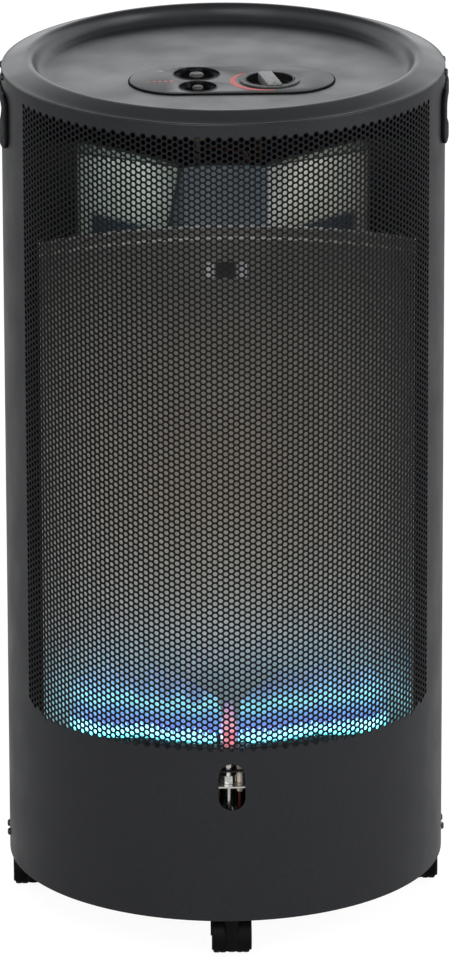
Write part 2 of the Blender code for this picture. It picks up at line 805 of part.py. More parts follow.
def make_heat_shield():
    mesh = wall_mesh(shield_outline(), BASE_FLOOR + GAP, SHIELD_TOP, SHIELD_FLANGE)
    shield = add_part("heat_shield", mesh, "galvanised_steel")
    thicken(shield, SHIELD_SHEET)

    def holes(shape):
        passing = (
            (PIPE_X, PIPE_LEVEL, PIPE_RADIUS),
            (DISHES_X, PILOT_TUBE_LEVEL, PILOT_TUBE_RADIUS),
            (LEAD_X, LEAD_LEVEL, LEAD_RADIUS),
            (IGNITION_X, IGNITION_LEVEL, IGNITION_LEAD_RADIUS),
        )
        for x, level, radius in passing:
            place = Matrix.Translation((x, 0, 0)) @ on_drum(0, -SHIELD_FRONT_Y - OVERRUN, level)
            add_rod(shape, radius + GAP, 2 * OVERRUN, place, sides=12)
    cut(shield, add_cutter("shield_holes", mesh_from(holes)))


def reflector_line():
    # An arc in plan whose ends meet the drum's wall
    behind = REFLECTOR_RADIUS - REFLECTOR_MIDDLE_Y
    reach = INNER_RADIUS - GAP
    y = (REFLECTOR_RADIUS ** 2 - reach ** 2 - behind ** 2) / (2 * behind)
    half = math.asin(math.sqrt(reach ** 2 - y ** 2) / REFLECTOR_RADIUS)
    points = []
    for step in range(REFLECTOR_FACETS + 1):
        angle = half * (2 * step / REFLECTOR_FACETS - 1)
        points.append((REFLECTOR_RADIUS * math.sin(angle), REFLECTOR_RADIUS * math.cos(angle) - behind))
    return points


def make_reflector():
    mesh = wall_mesh(reflector_line(), BURNER_TRAY_TOP + GAP, REFLECTOR_TOP)
    reflector = add_part("concave_reflector", mesh, "heat_stained_steel")
    thicken(reflector, REFLECTOR_SHEET)
    cut(reflector, add_cutter("bracket_holes", mesh_from(lambda s: bracket_pins(s, GAP))))


def bracket_front():
    # The plate's rear face clears the arc at the plate's ends
    half = BRACKET_WIDTH / 2
    arc = math.sqrt(REFLECTOR_RADIUS ** 2 - half ** 2) - REFLECTOR_RADIUS + REFLECTOR_MIDDLE_Y
    return arc - GAP


def bracket_pins(shape, clearance):
    for side in (-1, 1):
        place = Matrix.Translation((side * BRACKET_PIN_SPREAD / 2, 0, 0))
        place = place @ on_drum(0, -SHIELD_FRONT_Y + GAP, BRACKET_LEVEL)
        reach = -bracket_front() + SHIELD_FRONT_Y - GAP + BRACKET_SHEET / 2
        add_rod(shape, BRACKET_PIN_RADIUS + clearance, reach, place, sides=10)


def make_reflector_bracket():
    rear = bracket_front()
    low = (-BRACKET_WIDTH / 2, rear - BRACKET_SHEET, BRACKET_LEVEL - BRACKET_HEIGHT / 2)
    high = (BRACKET_WIDTH / 2, rear, BRACKET_LEVEL + BRACKET_HEIGHT / 2)
    bracket = add_part("reflector_bracket", box_mesh(low, high), "galvanised_steel")
    join(bracket, add_cutter("bracket_pins", mesh_from(lambda s: bracket_pins(s, 0))))


# Burner

def make_burner_tray():
    reach = INNER_RADIUS - GAP
    half_turn = math.acos(-BURNER_TRAY_REAR / reach)
    count = math.ceil(2 * half_turn / (2 * math.pi) * TURN_STEPS)
    points = []
    for step in range(count + 1):
        azimuth = half_turn * (2 * step / count - 1)
        points.append((reach * math.sin(azimuth), -reach * math.cos(azimuth)))
    front, wing = SHIELD_FRONT_Y - BURNER_TRAY_CLEARANCE, SHIELD_WING_Y - BURNER_TRAY_CLEARANCE
    share = (BURNER_TRAY_REAR - front) / (wing - front)
    side = SHIELD_FRONT_HALF + share * (SHIELD_WING_HALF - SHIELD_FRONT_HALF)
    points += [
        (side, BURNER_TRAY_REAR), (SHIELD_FRONT_HALF, front), (-SHIELD_FRONT_HALF, front),
        (-side, BURNER_TRAY_REAR),
    ]
    mesh = outline_mesh(points, BURNER_TRAY_SHEET)
    level = BURNER_TRAY_TOP - BURNER_TRAY_SHEET / 2
    tray = add_part("burner_tray", moved(mesh, Matrix.Translation((0, 0, level))), "galvanised_steel")

    def holes(shape):
        passing = (
            (0, MIXING_Y, MIXING_RADIUS, 24),
            (PILOT_X, PILOT_Y, PILOT_TUBE_RADIUS, 12),
            (THERMOCOUPLE_X, THERMOCOUPLE_Y, THERMOCOUPLE_RADIUS, 12),
            (ELECTRODE_X, ELECTRODE_Y, CERAMIC_RADIUS, 12),
        )
        for x, y, radius, sides in passing:
            place = Matrix.Translation((x, y, BURNER_TRAY_BOTTOM - OVERRUN))
            add_rod(shape, radius + GAP, BURNER_TRAY_SHEET + 2 * OVERRUN, place, sides)
    cut(tray, add_cutter("tray_holes", mesh_from(holes)))


def make_burner():
    half = MANIFOLD_WIDTH / 2
    rear = MIXING_Y + MIXING_RADIUS + MIXING_WALL
    low = (-half, rear - MANIFOLD_DEPTH, ARM_LEVEL - MANIFOLD_HEIGHT / 2)
    high = (half, rear, ARM_LEVEL + MANIFOLD_HEIGHT / 2)
    add_part("burner_manifold", box_mesh(low, high), "heat_stained_steel")
    for name, side in (("burner_left", -1), ("burner_right", 1)):
        start = half + GAP
        path = [(side * start, -ARM_PATH_RADIUS, ARM_LEVEL)]
        path.append((side * (start + ARM_STUB), -ARM_PATH_RADIUS, ARM_LEVEL))
        for step in range(ARM_POINTS):
            share = step / (ARM_POINTS - 1)
            azimuth = ARM_START_AZIMUTH + share * (ARM_END_AZIMUTH - ARM_START_AZIMUTH)
            x = side * ARM_PATH_RADIUS * math.sin(azimuth)
            path.append((x, -ARM_PATH_RADIUS * math.cos(azimuth), ARM_LEVEL))
        tube(name, path, ARM_RADIUS, "heat_stained_steel")


def make_mixing_tube():
    # A venturi, open at both ends, that widens to a mouth at its foot
    foot = MIXING_TOP - MIXING_LENGTH
    neck_foot, neck_top = MIXING_NECK_SHARES
    neck = MIXING_THROAT + MIXING_WALL
    outer = [(MIXING_RADIUS, 1.0), (MIXING_RADIUS, MIXING_WIDE_SHARE), (neck, neck_top), (neck, neck_foot)]
    outer.append((MIXING_MOUTH, 0.0))
    inner = [(radius - MIXING_WALL, share) for radius, share in outer]
    profile = [(radius, foot + share * MIXING_LENGTH) for radius, share in outer + inner[::-1]]
    mixing = turned("mixing_tube", profile, "galvanised_steel", closed=True, steps=20)
    mixing.location.y = MIXING_Y


def make_injector():
    # A flanged jet held under the mouth of the mixing tube
    plate_bottom = BURNER_TRAY_BOTTOM - GAP - HOLDER_DROP
    steps = [
        (INJECTOR_FLANGE, INJECTOR_FLANGE_HEIGHT), (INJECTOR_RADIUS, INJECTOR_BODY),
        (INJECTOR_TIP, INJECTOR_CONE),
    ]
    foot = plate_bottom - GAP - INJECTOR_FLANGE_HEIGHT
    place = Matrix.Translation((0, MIXING_Y, foot))
    add_part("injector", mesh_from(lambda s: add_stepped_rod(s, steps, place, 12)), "brass")
    half, deep = HOLDER_WIDTH / 2, HOLDER_DEPTH / 2
    top = BURNER_TRAY_BOTTOM - GAP
    low, high = (-half, MIXING_Y - deep, plate_bottom), (half, MIXING_Y + deep, top)
    holder = add_part("injector_holder", box_mesh(low, high), "galvanised_steel")
    inner_low = (-half + HOLDER_SHEET, MIXING_Y - deep - OVERRUN, plate_bottom + HOLDER_SHEET)
    inner_high = (half - HOLDER_SHEET, MIXING_Y + deep + OVERRUN, top + OVERRUN)
    cut(holder, add_cutter("holder_inside", box_mesh(inner_low, inner_high)))
    bore = rod_mesh(
        INJECTOR_RADIUS + GAP, plate_bottom - OVERRUN, plate_bottom + HOLDER_SHEET + OVERRUN,
        0, MIXING_Y, 12,
    )
    cut(holder, add_cutter("holder_bore", bore))
    return foot


def make_gas_pipe(injector_foot):
    corners = [
        (PIPE_X, RISER_Y, VALVE_BOTTOM - GAP),
        (PIPE_X, RISER_Y, PIPE_LEVEL),
        (PIPE_X, MIXING_Y, PIPE_LEVEL),
        (0, MIXING_Y, PIPE_LEVEL),
        (0, MIXING_Y, injector_foot - GAP),
    ]
    tube("gas_pipe", bent_path(corners, min(PIPE_BEND, injector_foot - GAP - PIPE_LEVEL)), PIPE_RADIUS,
         "copper")


# Pilot

def make_pilot():
    foot = BURNER_TRAY_TOP + GAP
    steps = [
        (PILOT_NUT_RADIUS, PILOT_NUT_HEIGHT), (PILOT_NECK_RADIUS, PILOT_NECK_HEIGHT),
        (PILOT_HEAD_RADIUS, PILOT_HEAD_HEIGHT),
    ]
    place = Matrix.Translation((PILOT_X, PILOT_Y, foot))
    add_part("pilot_burner", mesh_from(lambda s: add_stepped_rod(s, steps, place, 12)), "brass")
    corners = [
        (DISHES_X, START_DISH_Y, SAFETY_BOTTOM - GAP),
        (DISHES_X, START_DISH_Y, PILOT_TUBE_TOP),
        (DISHES_X, RISER_Y, PILOT_TUBE_TOP),
        (DISHES_X, RISER_Y, PILOT_TUBE_LEVEL),
        (DISHES_X, LEADS_TURN_Y, PILOT_TUBE_LEVEL),
        (PILOT_X, PILOT_Y, PILOT_TUBE_LEVEL),
        (PILOT_X, PILOT_Y, foot - GAP),
    ]
    tube("pilot_tube", bent_path(corners, LEAD_BEND), PILOT_TUBE_RADIUS, "galvanised_steel")


def make_thermocouple():
    # A thin lead that ends in a thicker rod beside the pilot
    shoulder = THERMOCOUPLE_TOP - THERMOCOUPLE_LENGTH
    corners = [
        (LEAD_X, START_DISH_Y, SAFETY_BOTTOM - GAP),
        (LEAD_X, START_DISH_Y, LEAD_TOP),
        (LEAD_X, RISER_Y, LEAD_TOP),
        (LEAD_X, RISER_Y, LEAD_LEVEL),
        (LEAD_X, LEADS_TURN_Y, LEAD_LEVEL),
        (THERMOCOUPLE_X, THERMOCOUPLE_Y, LEAD_LEVEL),
        (THERMOCOUPLE_X, THERMOCOUPLE_Y, shoulder),
    ]
    path = bent_path(corners, LEAD_BEND)
    path.append(Vector((THERMOCOUPLE_X, THERMOCOUPLE_Y, shoulder + LEAD_RADIUS)))
    path.append(Vector((THERMOCOUPLE_X, THERMOCOUPLE_Y, THERMOCOUPLE_TOP)))
    thick = THERMOCOUPLE_RADIUS / LEAD_RADIUS

    def swell(place):
        on_rod = place.z > shoulder + GAP and place.y < LEADS_TURN_Y
        return thick if on_rod else 1.0
    tube("thermocouple", path, LEAD_RADIUS, "copper", swell)


def make_spark_electrode():
    profile = [
        (0, CERAMIC_TOP + SPARK_WIRE_LENGTH),
        (SPARK_WIRE_RADIUS, CERAMIC_TOP + SPARK_WIRE_LENGTH),
        (SPARK_WIRE_RADIUS, CERAMIC_TOP),
        (CERAMIC_RADIUS, CERAMIC_TOP),
        (CERAMIC_RADIUS, CERAMIC_BOTTOM),
        (0, CERAMIC_BOTTOM),
    ]
    electrode = turned("spark_electrode", profile, "ceramic", steps=12)
    electrode.location = (ELECTRODE_X, ELECTRODE_Y, 0)
    corners = [
        (ELECTRODE_X, ELECTRODE_Y, CERAMIC_BOTTOM - GAP),
        (ELECTRODE_X, ELECTRODE_Y, IGNITION_LEVEL),
        (IGNITION_X, LEADS_TURN_Y, IGNITION_LEVEL),
        (IGNITION_X, RISER_Y, IGNITION_LEVEL),
        (IGNITION_X, RISER_Y, IGNITION_TOP),
        (DISHES_X, IGNITION_DISH_Y, IGNITION_TOP),
        (DISHES_X, IGNITION_DISH_Y, UNDER_DISH - PIEZO_LENGTH - GAP),
    ]
    tube("ignition_lead", bent_path(corners, LEAD_BEND), IGNITION_LEAD_RADIUS, "red_lead")


def make_pilot_bracket():
    # A small plate on one leg that holds the pilot, the thermocouple and the electrode
    half, deep = PILOT_PLATE_WIDTH / 2, PILOT_PLATE_DEPTH / 2
    foot = BURNER_TRAY_TOP + GAP
    top = foot + PILOT_PLATE_LIFT
    low = (PILOT_X - half, PILOT_Y - deep, top - PILOT_PLATE_SHEET)
    high = (PILOT_X + half, PILOT_Y + deep, top)
    bracket = add_part("pilot_bracket", box_mesh(low, high), "galvanised_steel")
    leg = box_mesh((high[0] - PILOT_PLATE_SHEET, low[1], foot), high)
    join(bracket, add_cutter("bracket_leg", leg))

    def holes(shape):
        passing = (
            (PILOT_X, PILOT_Y, PILOT_NECK_RADIUS),
            (THERMOCOUPLE_X, THERMOCOUPLE_Y, THERMOCOUPLE_RADIUS),
            (ELECTRODE_X, ELECTRODE_Y, CERAMIC_RADIUS),
        )
        for x, y, radius in passing:
            place = Matrix.Translation((x, y, low[2] - OVERRUN))
            add_rod(shape, radius + GAP, PILOT_PLATE_SHEET + 2 * OVERRUN, place, 12)
    cut(bracket, add_cutter("pilot_holes", mesh_from(holes)))


# Controls

def make_control_panel():
    mesh = outline_mesh(stadium(PANEL_LENGTH, PANEL_DEPTH), PANEL_SHEET)
    place = Matrix.Translation((PANEL_X, PANEL_Y, PANEL_BOTTOM + PANEL_SHEET / 2))
    panel = add_part("control_panel", moved(mesh, place), "panel_coat")

    def holes(shape):
        passing = (
            (KNOB_X, KNOB_Y, KNOB_RADIUS + GAP, 32),
            (DISHES_X, IGNITION_DISH_Y, IGNITION_DISH_RADIUS - DISH_RIM_LAP, 28),
            (DISHES_X, START_DISH_Y, START_DISH_RADIUS - DISH_RIM_LAP, 28),
        )
        for x, y, radius, sides in passing:
            place = Matrix.Translation((x, y, PANEL_BOTTOM - OVERRUN))
            add_rod(shape, radius + GAP, PANEL_SHEET + 2 * OVERRUN, place, sides)
    cut(panel, add_cutter("panel_holes", mesh_from(holes)))


def make_dish(name, radius, y):
    # A bowl that hangs in the panel by its rim, with a bore for the button's stem
    bore = BUTTON_STEM_RADIUS + GAP
    mouth = radius - DISH_RIM_LAP - GAP - DISH_WALL
    floor = radius * DISH_FLOOR_SHARE
    rim_top = RIM_LEVEL + DISH_RIM
    upper = [(bore, DISH_FLOOR)]
    for step in range(DISH_CURVE_POINTS + 1):
        angle = math.pi / 2 * step / DISH_CURVE_POINTS
        upper.append((floor + (mouth - floor) * math.sin(angle), rim_top - DISH_DEPTH * math.cos(angle)))
    lower = [(bore, DISH_BOTTOM)]
    for step in range(DISH_CURVE_POINTS + 1):
        angle = math.pi / 2 * step / DISH_CURVE_POINTS
        across = floor + (mouth - floor + DISH_WALL) * math.sin(angle)
        lower.append((across, RIM_LEVEL - (RIM_LEVEL - DISH_BOTTOM) * math.cos(angle)))
    profile = upper + [(radius, rim_top), (radius, RIM_LEVEL)] + lower[::-1]
    dish = turned(name, profile, "black_gloss", closed=True, steps=24)
    dish.location = (DISHES_X, y, 0)


def make_button(name, radius, y):
    # A cap over the bowl's floor on a stem that slides in the bore below
    foot = DISH_FLOOR + BUTTON_CLEARANCE
    top = foot + BUTTON_CAP
    profile = [
        (0, top - foot), (radius - BUTTON_EDGE, top - foot), (radius, top - foot - BUTTON_EDGE), (radius, 0),
        (BUTTON_STEM_RADIUS, 0), (BUTTON_STEM_RADIUS, UNDER_DISH - BUTTON_STEM_REACH - foot),
        (0, UNDER_DISH - BUTTON_STEM_REACH - foot),
    ]
    button = turned(name, profile, "grey_plastic", steps=16)
    button.location = (DISHES_X, y, foot)


def make_knob():
    pivot = bpy.data.objects.new("knob_axis", None)
    bpy.data.collections["gas_space_heater"].objects.link(pivot)
    pivot.location = (KNOB_X, KNOB_Y, PANEL_TOP)
    wall_top = RIM_LEVEL + KNOB_WALL_RISE - PANEL_TOP
    floor_top = KNOB_FLOOR_TOP - PANEL_TOP
    inner = KNOB_RADIUS - KNOB_WALL
    hub_bottom = KNOB_HUB_BOTTOM - PANEL_TOP
    profile = [
        (0, floor_top), (inner, floor_top), (inner, wall_top), (KNOB_RADIUS, wall_top),
        (KNOB_RADIUS, floor_top - KNOB_FLOOR), (KNOB_HUB_RADIUS, floor_top - KNOB_FLOOR),
        (KNOB_HUB_RADIUS, hub_bottom), (0, hub_bottom),
    ]
    knob = turned("control_knob", profile, "black_plastic", steps=32)
    bar_top = RIM_LEVEL + KNOB_BAR_RISE - PANEL_TOP
    half = inner * math.cos(math.asin(KNOB_BAR_WIDTH / 2 / inner)) + KNOB_WALL / 2
    spin = Matrix.Rotation(KNOB_BAR_AZIMUTH, 4, "Z")
    bar = box_mesh(
        (-KNOB_BAR_WIDTH / 2, -half, floor_top - KNOB_FLOOR / 2), (KNOB_BAR_WIDTH / 2, half, bar_top), spin
    )
    bar_part = add_cutter("knob_bar", bar)
    join(knob, bar_part)
    notch = box_mesh(
        (-KNOB_POINTER_WIDTH / 2, -half - OVERRUN, bar_top - KNOB_POINTER_DEPTH),
        (KNOB_POINTER_WIDTH / 2, -half + KNOB_POINTER_LENGTH, bar_top + OVERRUN), spin,
    )
    notch_part = add_cutter("knob_pointer", notch)
    cut(knob, notch_part)
    socket = rod_mesh(SPINDLE_RADIUS + GAP, hub_bottom - OVERRUN, hub_bottom + SPINDLE_SOCKET, sides=16)
    socket_part = add_cutter("knob_socket", socket)
    cut(knob, socket_part)
    spindle_top = hub_bottom + SPINDLE_SOCKET - GAP
    spindle = turned(
        "valve_spindle",
        [(0, spindle_top), (SPINDLE_RADIUS, spindle_top), (SPINDLE_RADIUS, hub_bottom - SPINDLE_BELOW),
         (0, hub_bottom - SPINDLE_BELOW)],
        "brass", steps=16,
    )
    for piece in (knob, bar_part, notch_part, socket_part, spindle):
        piece.parent = pivot
    inside = KNOB_RADIUS + 2 * GAP
    outside = inside + BEZEL_WIDTH
    low, high = RIM_LEVEL, RIM_LEVEL + BEZEL_HEIGHT
    edge = BEZEL_HEIGHT / 3
    profile = [(inside, high), (outside - edge, high), (outside, high - edge), (outside, low), (inside, low)]
    bezel = turned("knob_bezel", profile, "grey_plastic", closed=True, steps=36)
    bezel.location = (KNOB_X, KNOB_Y, 0)


def make_gas_valve():
    half = VALVE_SIDE / 2
    low = (KNOB_X - half, KNOB_Y - half, VALVE_BOTTOM)
    high = (KNOB_X + half, KNOB_Y + half, VALVE_TOP)
    valve = add_part("gas_valve", box_mesh(low, high), "brass")
    neck_top = KNOB_HUB_BOTTOM - GAP
    neck = rod_mesh(VALVE_NECK_RADIUS, VALVE_TOP - OVERRUN, neck_top, KNOB_X, KNOB_Y, 20)
    join(valve, add_cutter("valve_neck", neck))
    safety = rod_mesh(SAFETY_RADIUS, SAFETY_BOTTOM, UNDER_DISH, DISHES_X, START_DISH_Y, 20)
    join(valve, add_cutter("safety_valve", safety))
    bridge_front = START_DISH_Y - BRIDGE_DEPTH / 2
    bridge = box_mesh(
        (DISHES_X, bridge_front, BRIDGE_BOTTOM), (KNOB_X - half / 2, bridge_front + BRIDGE_DEPTH, BRIDGE_TOP)
    )
    join(valve, add_cutter("valve_bridge", bridge))
    spindle_bore = rod_mesh(
        SPINDLE_RADIUS + GAP, KNOB_HUB_BOTTOM - SPINDLE_BELOW - GAP, neck_top + OVERRUN, KNOB_X, KNOB_Y, 16
    )
    cut(valve, add_cutter("spindle_bore", spindle_bore))
    stem_bore = rod_mesh(
        BUTTON_STEM_RADIUS + GAP, UNDER_DISH - STEM_BORE_DEPTH, UNDER_DISH + OVERRUN,
        DISHES_X, START_DISH_Y, 16,
    )
    cut(valve, add_cutter("stem_bore", stem_bore))


def make_piezo():
    bore = BUTTON_STEM_RADIUS + GAP
    profile = [
        (0, UNDER_DISH - STEM_BORE_DEPTH), (bore, UNDER_DISH - STEM_BORE_DEPTH), (bore, UNDER_DISH),
        (PIEZO_RADIUS, UNDER_DISH), (PIEZO_RADIUS, UNDER_DISH - PIEZO_LENGTH),
        (0, UNDER_DISH - PIEZO_LENGTH),
    ]
    piezo = turned("piezo_igniter", profile, "black_plastic", steps=20)
    piezo.location = (DISHES_X, IGNITION_DISH_Y, 0)


def make_gas_inlet():
    # A hexagonal shoulder and a barbed nipple that points to the rear
    hexagon = INLET_HEX_LENGTH
    start = KNOB_Y + VALVE_SIDE / 2 + GAP
    tip = hexagon + INLET_BARB_PITCH * (INLET_BARBS + 0.5)
    profile = [(0, tip - INLET_BORE_DEPTH), (INLET_BORE, tip - INLET_BORE_DEPTH), (INLET_BORE, tip)]
    profile.append((INLET_RADIUS, tip))
    for barb in range(INLET_BARBS):
        low = tip - INLET_BARB_PITCH * (barb + 1)
        profile.append((INLET_RADIUS + INLET_BARB, low + INLET_BARB))
        profile.append((INLET_RADIUS, low))
    foot = hexagon / 2
    profile += [(INLET_RADIUS, foot), (0, foot)]
    inlet = turned("gas_inlet", profile, "brass", steps=16)
    inlet.rotation_euler.x = -math.pi / 2
    inlet.location = (KNOB_X, start, INLET_LEVEL)
    nut = mesh_from(lambda s: add_rod(s, INLET_HEX_RADIUS, hexagon, Matrix.Identity(4), 6))
    nut_part = add_cutter("inlet_hexagon", nut)
    nut_part.rotation_euler.x = -math.pi / 2
    nut_part.location = inlet.location
    join(inlet, nut_part)


# Side handles

def make_cup_spaces():
    # The cut-outs in the casings for the handles' finger cups
    def build(shape):
        for side in (-1, 1):
            inner = DRUM_RADIUS - CUP_DEPTH - CUP_WALL - CUP_CLEARANCE
            xs = sorted((side * inner, side * (DRUM_RADIUS + OVERRUN)))
            y = CUP_WIDTH / 2 + CUP_WALL + CUP_CLEARANCE
            z = CUP_HEIGHT / 2 + CUP_WALL + CUP_CLEARANCE
            add_box(shape, (xs[0], -y, HANDLE_LEVEL - z), (xs[1], y, HANDLE_LEVEL + z))
    return add_cutter("cup_spaces", mesh_from(build))


def make_side_handle(name, side):
    outer = DRUM_RADIUS + GAP + HANDLE_PROUD
    spread = math.asin((HANDLE_WIDTH / 2 + OVERRUN) / DRUM_RADIUS)
    middle = side * SEAM_AZIMUTH
    handle = drum_band(
        name, middle - spread, middle + spread, HANDLE_LEVEL - HANDLE_HEIGHT, HANDLE_LEVEL + HANDLE_HEIGHT,
        outer, HANDLE_PROUD, "black_plastic",
    )
    plate = outline_mesh(rounded_rectangle(HANDLE_WIDTH, HANDLE_HEIGHT, HANDLE_CORNER), 4 * CUP_DEPTH)
    plate = moved(plate, on_drum(middle, DRUM_RADIUS, HANDLE_LEVEL))
    combine(handle, add_cutter(name + "_outline", plate), "INTERSECT")
    depth = DRUM_RADIUS - CUP_DEPTH
    half_width, half_height = CUP_WIDTH / 2, CUP_HEIGHT / 2
    xs = sorted((side * (depth - CUP_WALL), side * (outer + OVERRUN)))
    shell = box_mesh(
        (xs[0], -half_width - CUP_WALL, HANDLE_LEVEL - half_height - CUP_WALL),
        (xs[1], half_width + CUP_WALL, HANDLE_LEVEL + half_height + CUP_WALL),
    )
    cup = add_cutter(name + "_cup", shell)
    bottom, top = HANDLE_LEVEL - HANDLE_HEIGHT, HANDLE_LEVEL + HANDLE_HEIGHT
    drum = rod_mesh(outer - HANDLE_PROUD / 2, bottom, top, 0, 0, TURN_STEPS)
    combine(cup, add_cutter(name + "_drum", drum), "INTERSECT")
    join(handle, cup)
    xs = sorted((side * depth, side * (outer + OVERRUN)))
    inside = box_mesh(
        (xs[0], -half_width, HANDLE_LEVEL - half_height), (xs[1], half_width, HANDLE_LEVEL + half_height)
    )
    cut(handle, add_cutter(name + "_inside", inside))


# Rear door

def make_rear_door():
    reach = math.asin(DOOR_HALF_WIDTH / DRUM_RADIUS) + 2 * math.pi / TURN_STEPS
    door = drum_band(
        "rear_door", math.pi - reach, math.pi + reach, DOOR_BOTTOM - OVERRUN, DOOR_TOP + OVERRUN,
        DRUM_RADIUS, DRUM_SHEET, "anthracite_coat",
    )
    half = DOOR_HALF_WIDTH - DOOR_GAP
    low, high = (-half, 0, DOOR_BOTTOM + DOOR_GAP), (half, DRUM_RADIUS + OVERRUN, DOOR_TOP - DOOR_GAP)
    outline = box_mesh(low, high)
    combine(door, add_cutter("door_outline", outline), "INTERSECT")

    def slots(shape):
        for level in LOUVRE_LEVELS:
            for column in range(LOUVRE_COLUMNS):
                x = LOUVRE_PITCH * (column - (LOUVRE_COLUMNS - 1) / 2)
                low = (x - LOUVRE_WIDTH / 2, DRUM_RADIUS / 2, level - LOUVRE_HEIGHT / 2)
                high = (x + LOUVRE_WIDTH / 2, DRUM_RADIUS + OVERRUN, level + LOUVRE_HEIGHT / 2)
                add_box(shape, low, high)
    cut(door, add_cutter("door_slots", mesh_from(slots)))
    azimuth = math.pi - math.asin(FINGER_HOLE_X / DRUM_RADIUS)
    place = on_drum(azimuth, DRUM_RADIUS - DRUM_SHEET - OVERRUN, FINGER_HOLE_LEVEL)
    hole = mesh_from(lambda s: add_rod(s, FINGER_HOLE_RADIUS, DRUM_SHEET + 2 * OVERRUN, place, 14))
    cut(door, add_cutter("finger_hole", hole))


def hinge_frame():
    # A frame on the hinge's axis: X along the drum towards the casing, Y up, Z outwards
    return on_drum(HINGE_AZIMUTH, HINGE_RADIUS, HINGE_LEVEL)


def knuckle_spans(first):
    # The lengths of every second knuckle, measured from the hinge's middle
    length = HINGE_HEIGHT / HINGE_KNUCKLES
    spans = []
    for place in range(first, HINGE_KNUCKLES, 2):
        low = -HINGE_HEIGHT / 2 + place * length
        spans.append((low + HINGE_GAP / 2, low + length - HINGE_GAP / 2))
    return spans


def upright_rods(shape, radius, spans, extra=0.0):
    for low, high in spans:
        place = hinge_frame() @ Matrix.Rotation(-math.pi / 2, 4, "X")
        place = place @ Matrix.Translation((0, 0, low - extra))
        add_rod(shape, radius, high - low + 2 * extra, place, 12)


def make_hinge_leaf(name, side, first):
    # A long plate on the drum with every second knuckle
    middle = (LEAF_START + LEAF_REACH) / 2
    turn = HINGE_AZIMUTH + side * middle / DRUM_RADIUS
    half, tall = (LEAF_REACH - LEAF_START) / 2, HINGE_HEIGHT / 2
    plate = box_mesh(
        (-half, -tall, 0), (half, tall, LEAF_SHEET), on_drum(turn, DRUM_RADIUS + GAP, HINGE_LEVEL)
    )
    leaf = add_part(name, plate, "black_screw")
    spans = knuckle_spans(first)

    def webs(shape):
        xs = sorted((0, side * WEB_REACH))
        floor = LEAF_SHEET / 4 - KNUCKLE_RADIUS
        for low, high in spans:
            add_box(shape, (xs[0], low, floor), (xs[1], high, floor + LEAF_SHEET / 2), hinge_frame())
    join(leaf, add_cutter(name + "_webs", mesh_from(webs)))
    knuckles = mesh_from(lambda s: upright_rods(s, KNUCKLE_RADIUS, spans))
    join(leaf, add_cutter(name + "_knuckles", knuckles))
    whole = [(-tall, tall)]
    bore = mesh_from(lambda s: upright_rods(s, HINGE_PIN_RADIUS + GAP, whole, OVERRUN))
    cut(leaf, add_cutter(name + "_bore", bore))


def make_hinge_pin():
    tall = HINGE_HEIGHT / 2
    pin = mesh_from(lambda s: upright_rods(s, HINGE_PIN_RADIUS, [(-tall, tall)]))
    add_part("door_hinge_pin", pin, "galvanised_steel")


def make_door_magnet():
    azimuth = math.pi - math.asin(DOOR_HALF_WIDTH / DRUM_RADIUS)
    place = on_drum(azimuth, DRUM_RADIUS - DRUM_SHEET - MAGNET_CLEARANCE, HINGE_LEVEL)
    half, tall = MAGNET_WIDTH / 2, MAGNET_HEIGHT / 2
    add_part("door_magnet", box_mesh((-half, -tall, -MAGNET_DEPTH), (half, tall, 0), place), "ferrite")


# Castors

def castor_spots():
    return [
        (CASTOR_CIRCLE * math.sin(turn), -CASTOR_CIRCLE * math.cos(turn))
        for turn in (0, math.pi / 2, math.pi, -math.pi / 2)
    ]


def hood_mesh():
    # A rounded cover over both wheels, with a web between them, a boss for the stem and the axle
    half = HOOD_WIDTH / 2
    rounded = round_corner((HOOD_RADIUS - HOOD_EDGE, half - HOOD_EDGE), HOOD_EDGE, HOOD_EDGE, 90, 0, 2)
    profile = [(0, half)] + rounded + [(r, -z) for r, z in rounded[::-1]] + [(0, -half)]
    hood = turned("hood", profile, "black_plastic", steps=HOOD_STEPS)
    hood.rotation_euler.y = math.pi / 2
    hood.location = (0, CASTOR_TRAIL, WHEEL_RADIUS)
    top = WHEEL_RADIUS + HOOD_RADIUS
    boss = add_cutter("hood_boss", rod_mesh(BOSS_RADIUS, HOOD_BOTTOM, top, 0, 0, 16))
    join(hood, boss)
    reach = HOOD_RADIUS + CASTOR_TRAIL + OVERRUN
    low, high = (-half - OVERRUN, -reach, -OVERRUN), (half + OVERRUN, reach + CASTOR_TRAIL, HOOD_BOTTOM)
    below = box_mesh(low, high)
    below_part = add_cutter("hood_below", below)
    cut(hood, below_part)

    def pockets(shape):
        for side in (-1, 1):
            start = HOOD_WEB / 2
            sideways = Matrix.Rotation(side * math.pi / 2, 4, "Y")
            place = Matrix.Translation((side * start, CASTOR_TRAIL, WHEEL_RADIUS)) @ sideways
            add_rod(shape, WHEEL_RADIUS + WHEEL_CLEARANCE, half, place, HOOD_STEPS)
    pockets_part = add_cutter("hood_pockets", mesh_from(pockets))
    cut(hood, pockets_part)
    bore = rod_mesh(STEM_RADIUS + GAP, STEM_BOTTOM - GAP, top + OVERRUN, 0, 0, 12)
    bore_part = add_cutter("hood_bore", bore)
    cut(hood, bore_part)
    axle_half = AXLE_LENGTH / 2
    start = Matrix.Translation((-axle_half, CASTOR_TRAIL, WHEEL_RADIUS))
    place = start @ Matrix.Rotation(math.pi / 2, 4, "Y")
    axle = mesh_from(lambda s: add_rod(s, AXLE_RADIUS, AXLE_LENGTH, place, 12))
    axle_part = add_cutter("hood_axle", axle)
    join(hood, axle_part)
    bpy.context.view_layer.update()
    mesh = moved(frozen_mesh(hood, "castor_hood"), hood.matrix_world)
    for piece in (hood, boss, below_part, pockets_part, bore_part, axle_part):
        bpy.data.objects.remove(piece)
    return mesh


